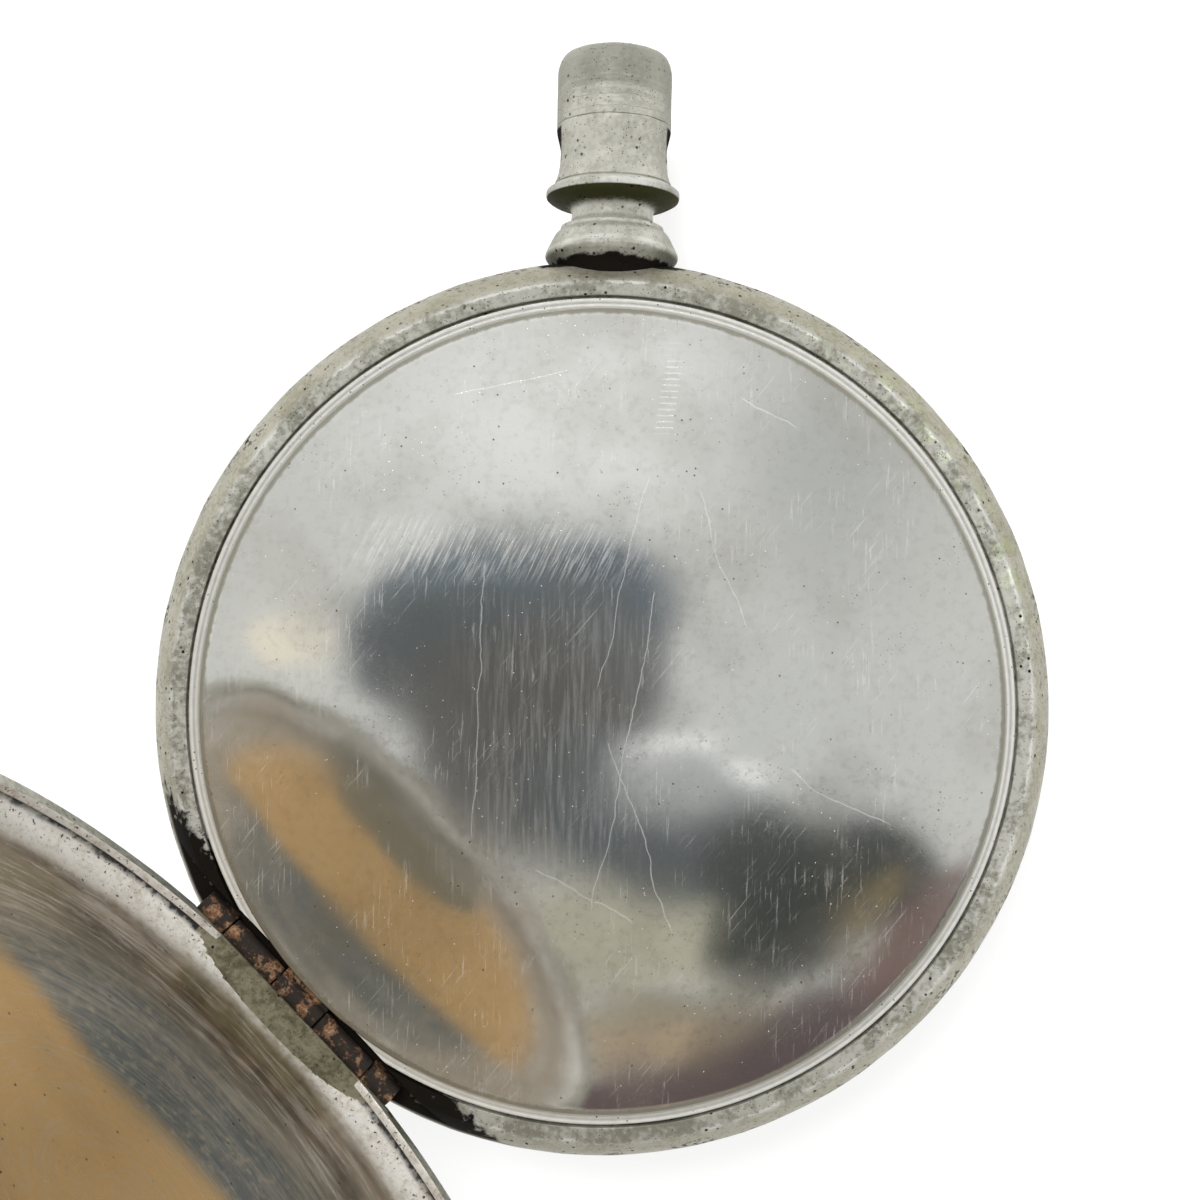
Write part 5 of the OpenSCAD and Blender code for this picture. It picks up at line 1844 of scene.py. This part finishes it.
@dataclass
class Studio:
    """The camera over the watch, the pale floor and the plain light round it."""

    camera_at: tuple = (-0.27, 6.74, 105.8)
    focal_px: float = 1550.0
    image_px: float = 1200.0
    sensor: float = 36.0
    roll: float = 1.2
    sky: tuple = (0.64, 0.64, 0.615)
    plain: tuple = (0.80, 0.80, 0.79)
    paper: tuple = (0.92, 0.92, 0.915)
    white: tuple = (1.0, 1.0, 1.0)
    floor_half: float = 1500.0
    floor_glow: float = 0.72
    cards: tuple = (
        Card((-0.06, 0.40), (0.30, 0.17), (0.84, 0.85, 0.83), 0.0, 0.8),
        Card((0.36, 0.30), (0.16, 0.20), (0.50, 0.51, 0.49), 0.0, 0.9),
        Card((0.30, -0.08), (0.24, 0.15), (0.60, 0.61, 0.60), 0.0, 0.7),
        Card((0.11, -0.42), (0.36, 0.09), (0.48, 0.46, 0.36), 0.0, 0.35),
        Card((-0.27, 0.06), (0.13, 0.085), (0.20, 0.235, 0.26), 25.0, 0.16),
        Card((-0.13, 0.095), (0.21, 0.10), (0.15, 0.185, 0.21), 4.0, 0.14),
        Card((0.00, 0.10), (0.11, 0.09), (0.12, 0.15, 0.18), 0.0, 0.16),
        Card((-0.16, -0.02), (0.23, 0.12), (0.11, 0.12, 0.125), -14.0, 0.2),
        Card((-0.02, -0.02), (0.12, 0.14), (0.14, 0.145, 0.145), 0.0, 0.3),
        Card((-0.10, -0.14), (0.20, 0.16), (0.125, 0.118, 0.108), -30.0, 0.25),
        Card((0.08, -0.23), (0.24, 0.12), (0.11, 0.12, 0.125), -20.0, 0.22),
        Card((0.36, -0.32), (0.20, 0.105), (0.07, 0.075, 0.072), -6.0, 0.16),
        Card((0.32, -0.40), (0.15, 0.10), (0.055, 0.06, 0.055), 30.0, 0.2),
        Card((0.11, -0.125), (0.07, 0.016), (2.0, 2.0, 1.95), 8.0, 0.6),
        Card((0.20, -0.155), (0.05, 0.014), (2.2, 2.2, 2.15), -8.0, 0.6),
        Card((0.13, -0.17), (0.11, 0.055), (0.42, 0.43, 0.43), 0.0, 0.7),
        Card((0.44, -0.38), (0.07, 0.010), (0.50, 0.38, 0.15), 46.0, 0.5),
        Card((-0.50, 0.025), (0.075, 0.042), (0.86, 0.80, 0.66), 0.0, 0.2),
        Card((0.18, -0.60), (0.50, 0.055), (0.46, 0.36, 0.24), 3.0, 0.35),
        Card((0.12, -0.545), (0.13, 0.014), (0.12, 0.14, 0.11), 0.0, 0.5),
        Card((0.10, -0.80), (0.85, 0.14), (0.12, 0.085, 0.088), 6.0, 0.25),
        Card((0.33, -0.62), (0.26, 0.075), (0.11, 0.085, 0.085), 24.0, 0.25),
        Card((0.53, -0.44), (0.17, 0.055), (0.19, 0.125, 0.115), 46.0, 0.3),
    )

    def build(self) -> None:
        """Builds the camera, floor, world and lamps."""
        self.build_camera()
        self.build_floor()
        self.build_world()
        self.build_lamp("key", (-0.08, 0.18, 0.32), 0.16, 2.1)
        self.build_lamp("fill", (0.24, -0.10, 0.26), 0.26, 0.7)
        bpy.context.scene.view_settings.view_transform = "Standard"

    def build_camera(self) -> None:
        """Sets the camera straight over the watch, rolled as the photograph is."""
        data = bpy.data.cameras.new("camera")
        data.sensor_width = self.sensor
        data.lens = self.sensor * self.focal_px / self.image_px
        data.clip_start, data.clip_end = 0.002, 10.0
        camera = bpy.data.objects.new("camera", data)
        camera.location = Vector(self.camera_at) * MM
        camera.rotation_euler = (0.0, 0.0, math.radians(self.roll))
        bpy.context.scene.collection.objects.link(camera)
        bpy.context.scene.camera = camera

    def build_floor(self) -> None:
        """Lays the pale floor that keeps the watch's shadow."""
        half = self.floor_half
        floor = extruded("floor", [(-half, -half), (half, -half), (half, half), (-half, half)], -1.0, -0.02)
        made, net = new_material("pale_floor")
        rays = net.add("ShaderNodeLightPath")
        kinds = ("Camera", "Glossy", "Transmission")
        seen, *others = (Value(net, rays.outputs[f"Is {kind} Ray"]) for kind in kinds)
        for other in others:
            seen = seen.larger(other)
        matt = net.add("ShaderNodeBsdfDiffuse", None, {"Color": rgba(self.paper)})
        glow = net.add("ShaderNodeEmission", None, {"Color": rgba(self.white), "Strength": 1.0})
        sockets = {0: seen * self.floor_glow, 1: matt.outputs[0], 2: glow.outputs[0]}
        both = net.add("ShaderNodeMixShader", None, sockets)
        net.add("ShaderNodeOutputMaterial", None, {"Surface": both.outputs[0]})
        floor.data.materials.append(made)

    def build_world(self) -> None:
        """Fills the room: plain grey light, white behind the watch, and soft patches for metal to mirror."""
        world = bpy.data.worlds.new("room")
        bpy.context.scene.world = world
        world.use_nodes = True
        net = Net(world.node_tree)
        looking = net.add("ShaderNodeTexCoord").outputs["Generated"]
        x, y, z = net.parts(looking)
        rise = z.larger(0.05)
        slope_x, slope_y = x / rise, y / rise
        rag = net.grain(looking, 6.0, 4.0) - 0.5
        colour = rgba(self.sky)
        for card in self.cards:
            c, s = math.cos(math.radians(card.turn)), math.sin(math.radians(card.turn))
            u, v = slope_x - card.at[0], slope_y - card.at[1]
            across = (u * c + v * s) / card.half[0]
            along = (v * c - u * s) / card.half[1]
            away = net.distance(across, along) + rag * 0.5
            mask = away.ramp(1.0 + card.soft, 1.0 - card.soft) * z.ramp(0.0, 0.1)
            colour = net.mix(mask, colour, card.colour)
        rays = net.add("ShaderNodeLightPath")
        mirrored, plain, white = (
            net.add("ShaderNodeBackground", None, {"Color": light, "Strength": strength})
            for light, strength in ((colour, 1.0), (rgba(self.plain), 0.62), (rgba(self.white), 1.0))
        )
        sockets = {0: rays.outputs["Is Glossy Ray"], 1: plain.outputs[0], 2: mirrored.outputs[0]}
        room = net.add("ShaderNodeMixShader", None, sockets)
        sockets = {0: rays.outputs["Is Camera Ray"], 1: room.outputs[0], 2: white.outputs[0]}
        seen = net.add("ShaderNodeMixShader", None, sockets)
        net.add("ShaderNodeOutputWorld", None, {"Surface": seen.outputs[0]})

    def build_lamp(self, name: str, at: tuple, size: float, watts: float) -> None:
        """Hangs one soft lamp aimed at the watch.

        Args:
            name: Its name.
            at: Its place, in metres.
            size: Its side, in metres.
            watts: Its power.
        """
        data = bpy.data.lights.new(name, "AREA")
        data.size, data.energy = size, watts
        lamp = bpy.data.objects.new(name, data)
        lamp.location = at
        lamp.visible_glossy = False
        lamp.rotation_euler = (Vector((0, 0, 0.01)) - Vector(at)).to_track_quat("-Z", "Y").to_euler()
        bpy.context.scene.collection.objects.link(lamp)


def main() -> None:
    """Builds the studio and the watch, piece by piece."""
    logging.basicConfig(level=logging.INFO, format="%(name)s: %(message)s")
    Studio().build()
    polished = PolishedNickel("polished_lid", rough=0.16, stains=0.8).material()
    joint = RustyJoint().material()
    CaseBand().build(WornBandWithPaintedHighlight().material())
    tube = PendantTube()
    tube.build(WornPendantWithPaintedLight().material())
    PushPiece().build(tube, WornCapWithPaintedShade().material())
    rim = WornNickel("worn_lid_rim", (0.46, 0.455, 0.40), (0.24, 0.235, 0.18)).material()
    bar = WornNickel("worn_joint_bar", (0.25, 0.235, 0.165), (0.12, 0.11, 0.07)).material()
    BackLid("back_lid_shell", "back_lid", "back_lid").build(polished, (LidLining().material(), rim, bar))
    front = FrontLid("front_lid_shell", "front_lid", "front_lid", flat=CASE.lid_flat, beaded=False)
    front.build(polished)
    long_marks = (
        Scratch((2.4, 14.2), (-0.6, 1.0)), Scratch((3.0, 7.5), (-0.3, -12.0)),
        Scratch((-7.2, 9.0), (-7.4, -8.0), 0.03),
        Scratch((5.5, 13.5), (8.5, 5.0), 0.03), Scratch((-3.5, -9.0), (2.6, -12.5), 0.04),
        Scratch((0.3, -1.5), (4.6, -13.5), 0.03), Scratch((-9.5, 18.8), (-2.0, 20.6), 0.03),
        Scratch((11.0, -3.0), (17.5, -6.5), 0.03), Scratch((7.6, 19.0), (11.5, 17.0), 0.03),
    )
    dome = PolishedNickel(
        "cuvette_polish", rim_radius=24.1, rough=0.06, stains=0.45, scratches=long_marks, rubbed=True
    )
    Cuvette().build(dome.material(), TurnedRing().material(), joint)
    JOINT.build(joint)
    grime = MovementMetal("old_dirt", (0.02, 0.016, 0.012), (0.04, 0.025, 0.015), 0.7, 0.0, 1.0)
    JointGrime().build(grime.material())
    ink = MovementMetal("dial_ink", (0.02, 0.02, 0.022), (0.03, 0.03, 0.03), 0.3, 0.0, 0.0)
    DialFurniture().build(ink.material())
    Movement().build(Enamel().material(), ClearGlass().material(), joint)


if __name__ == "__main__":
    main()
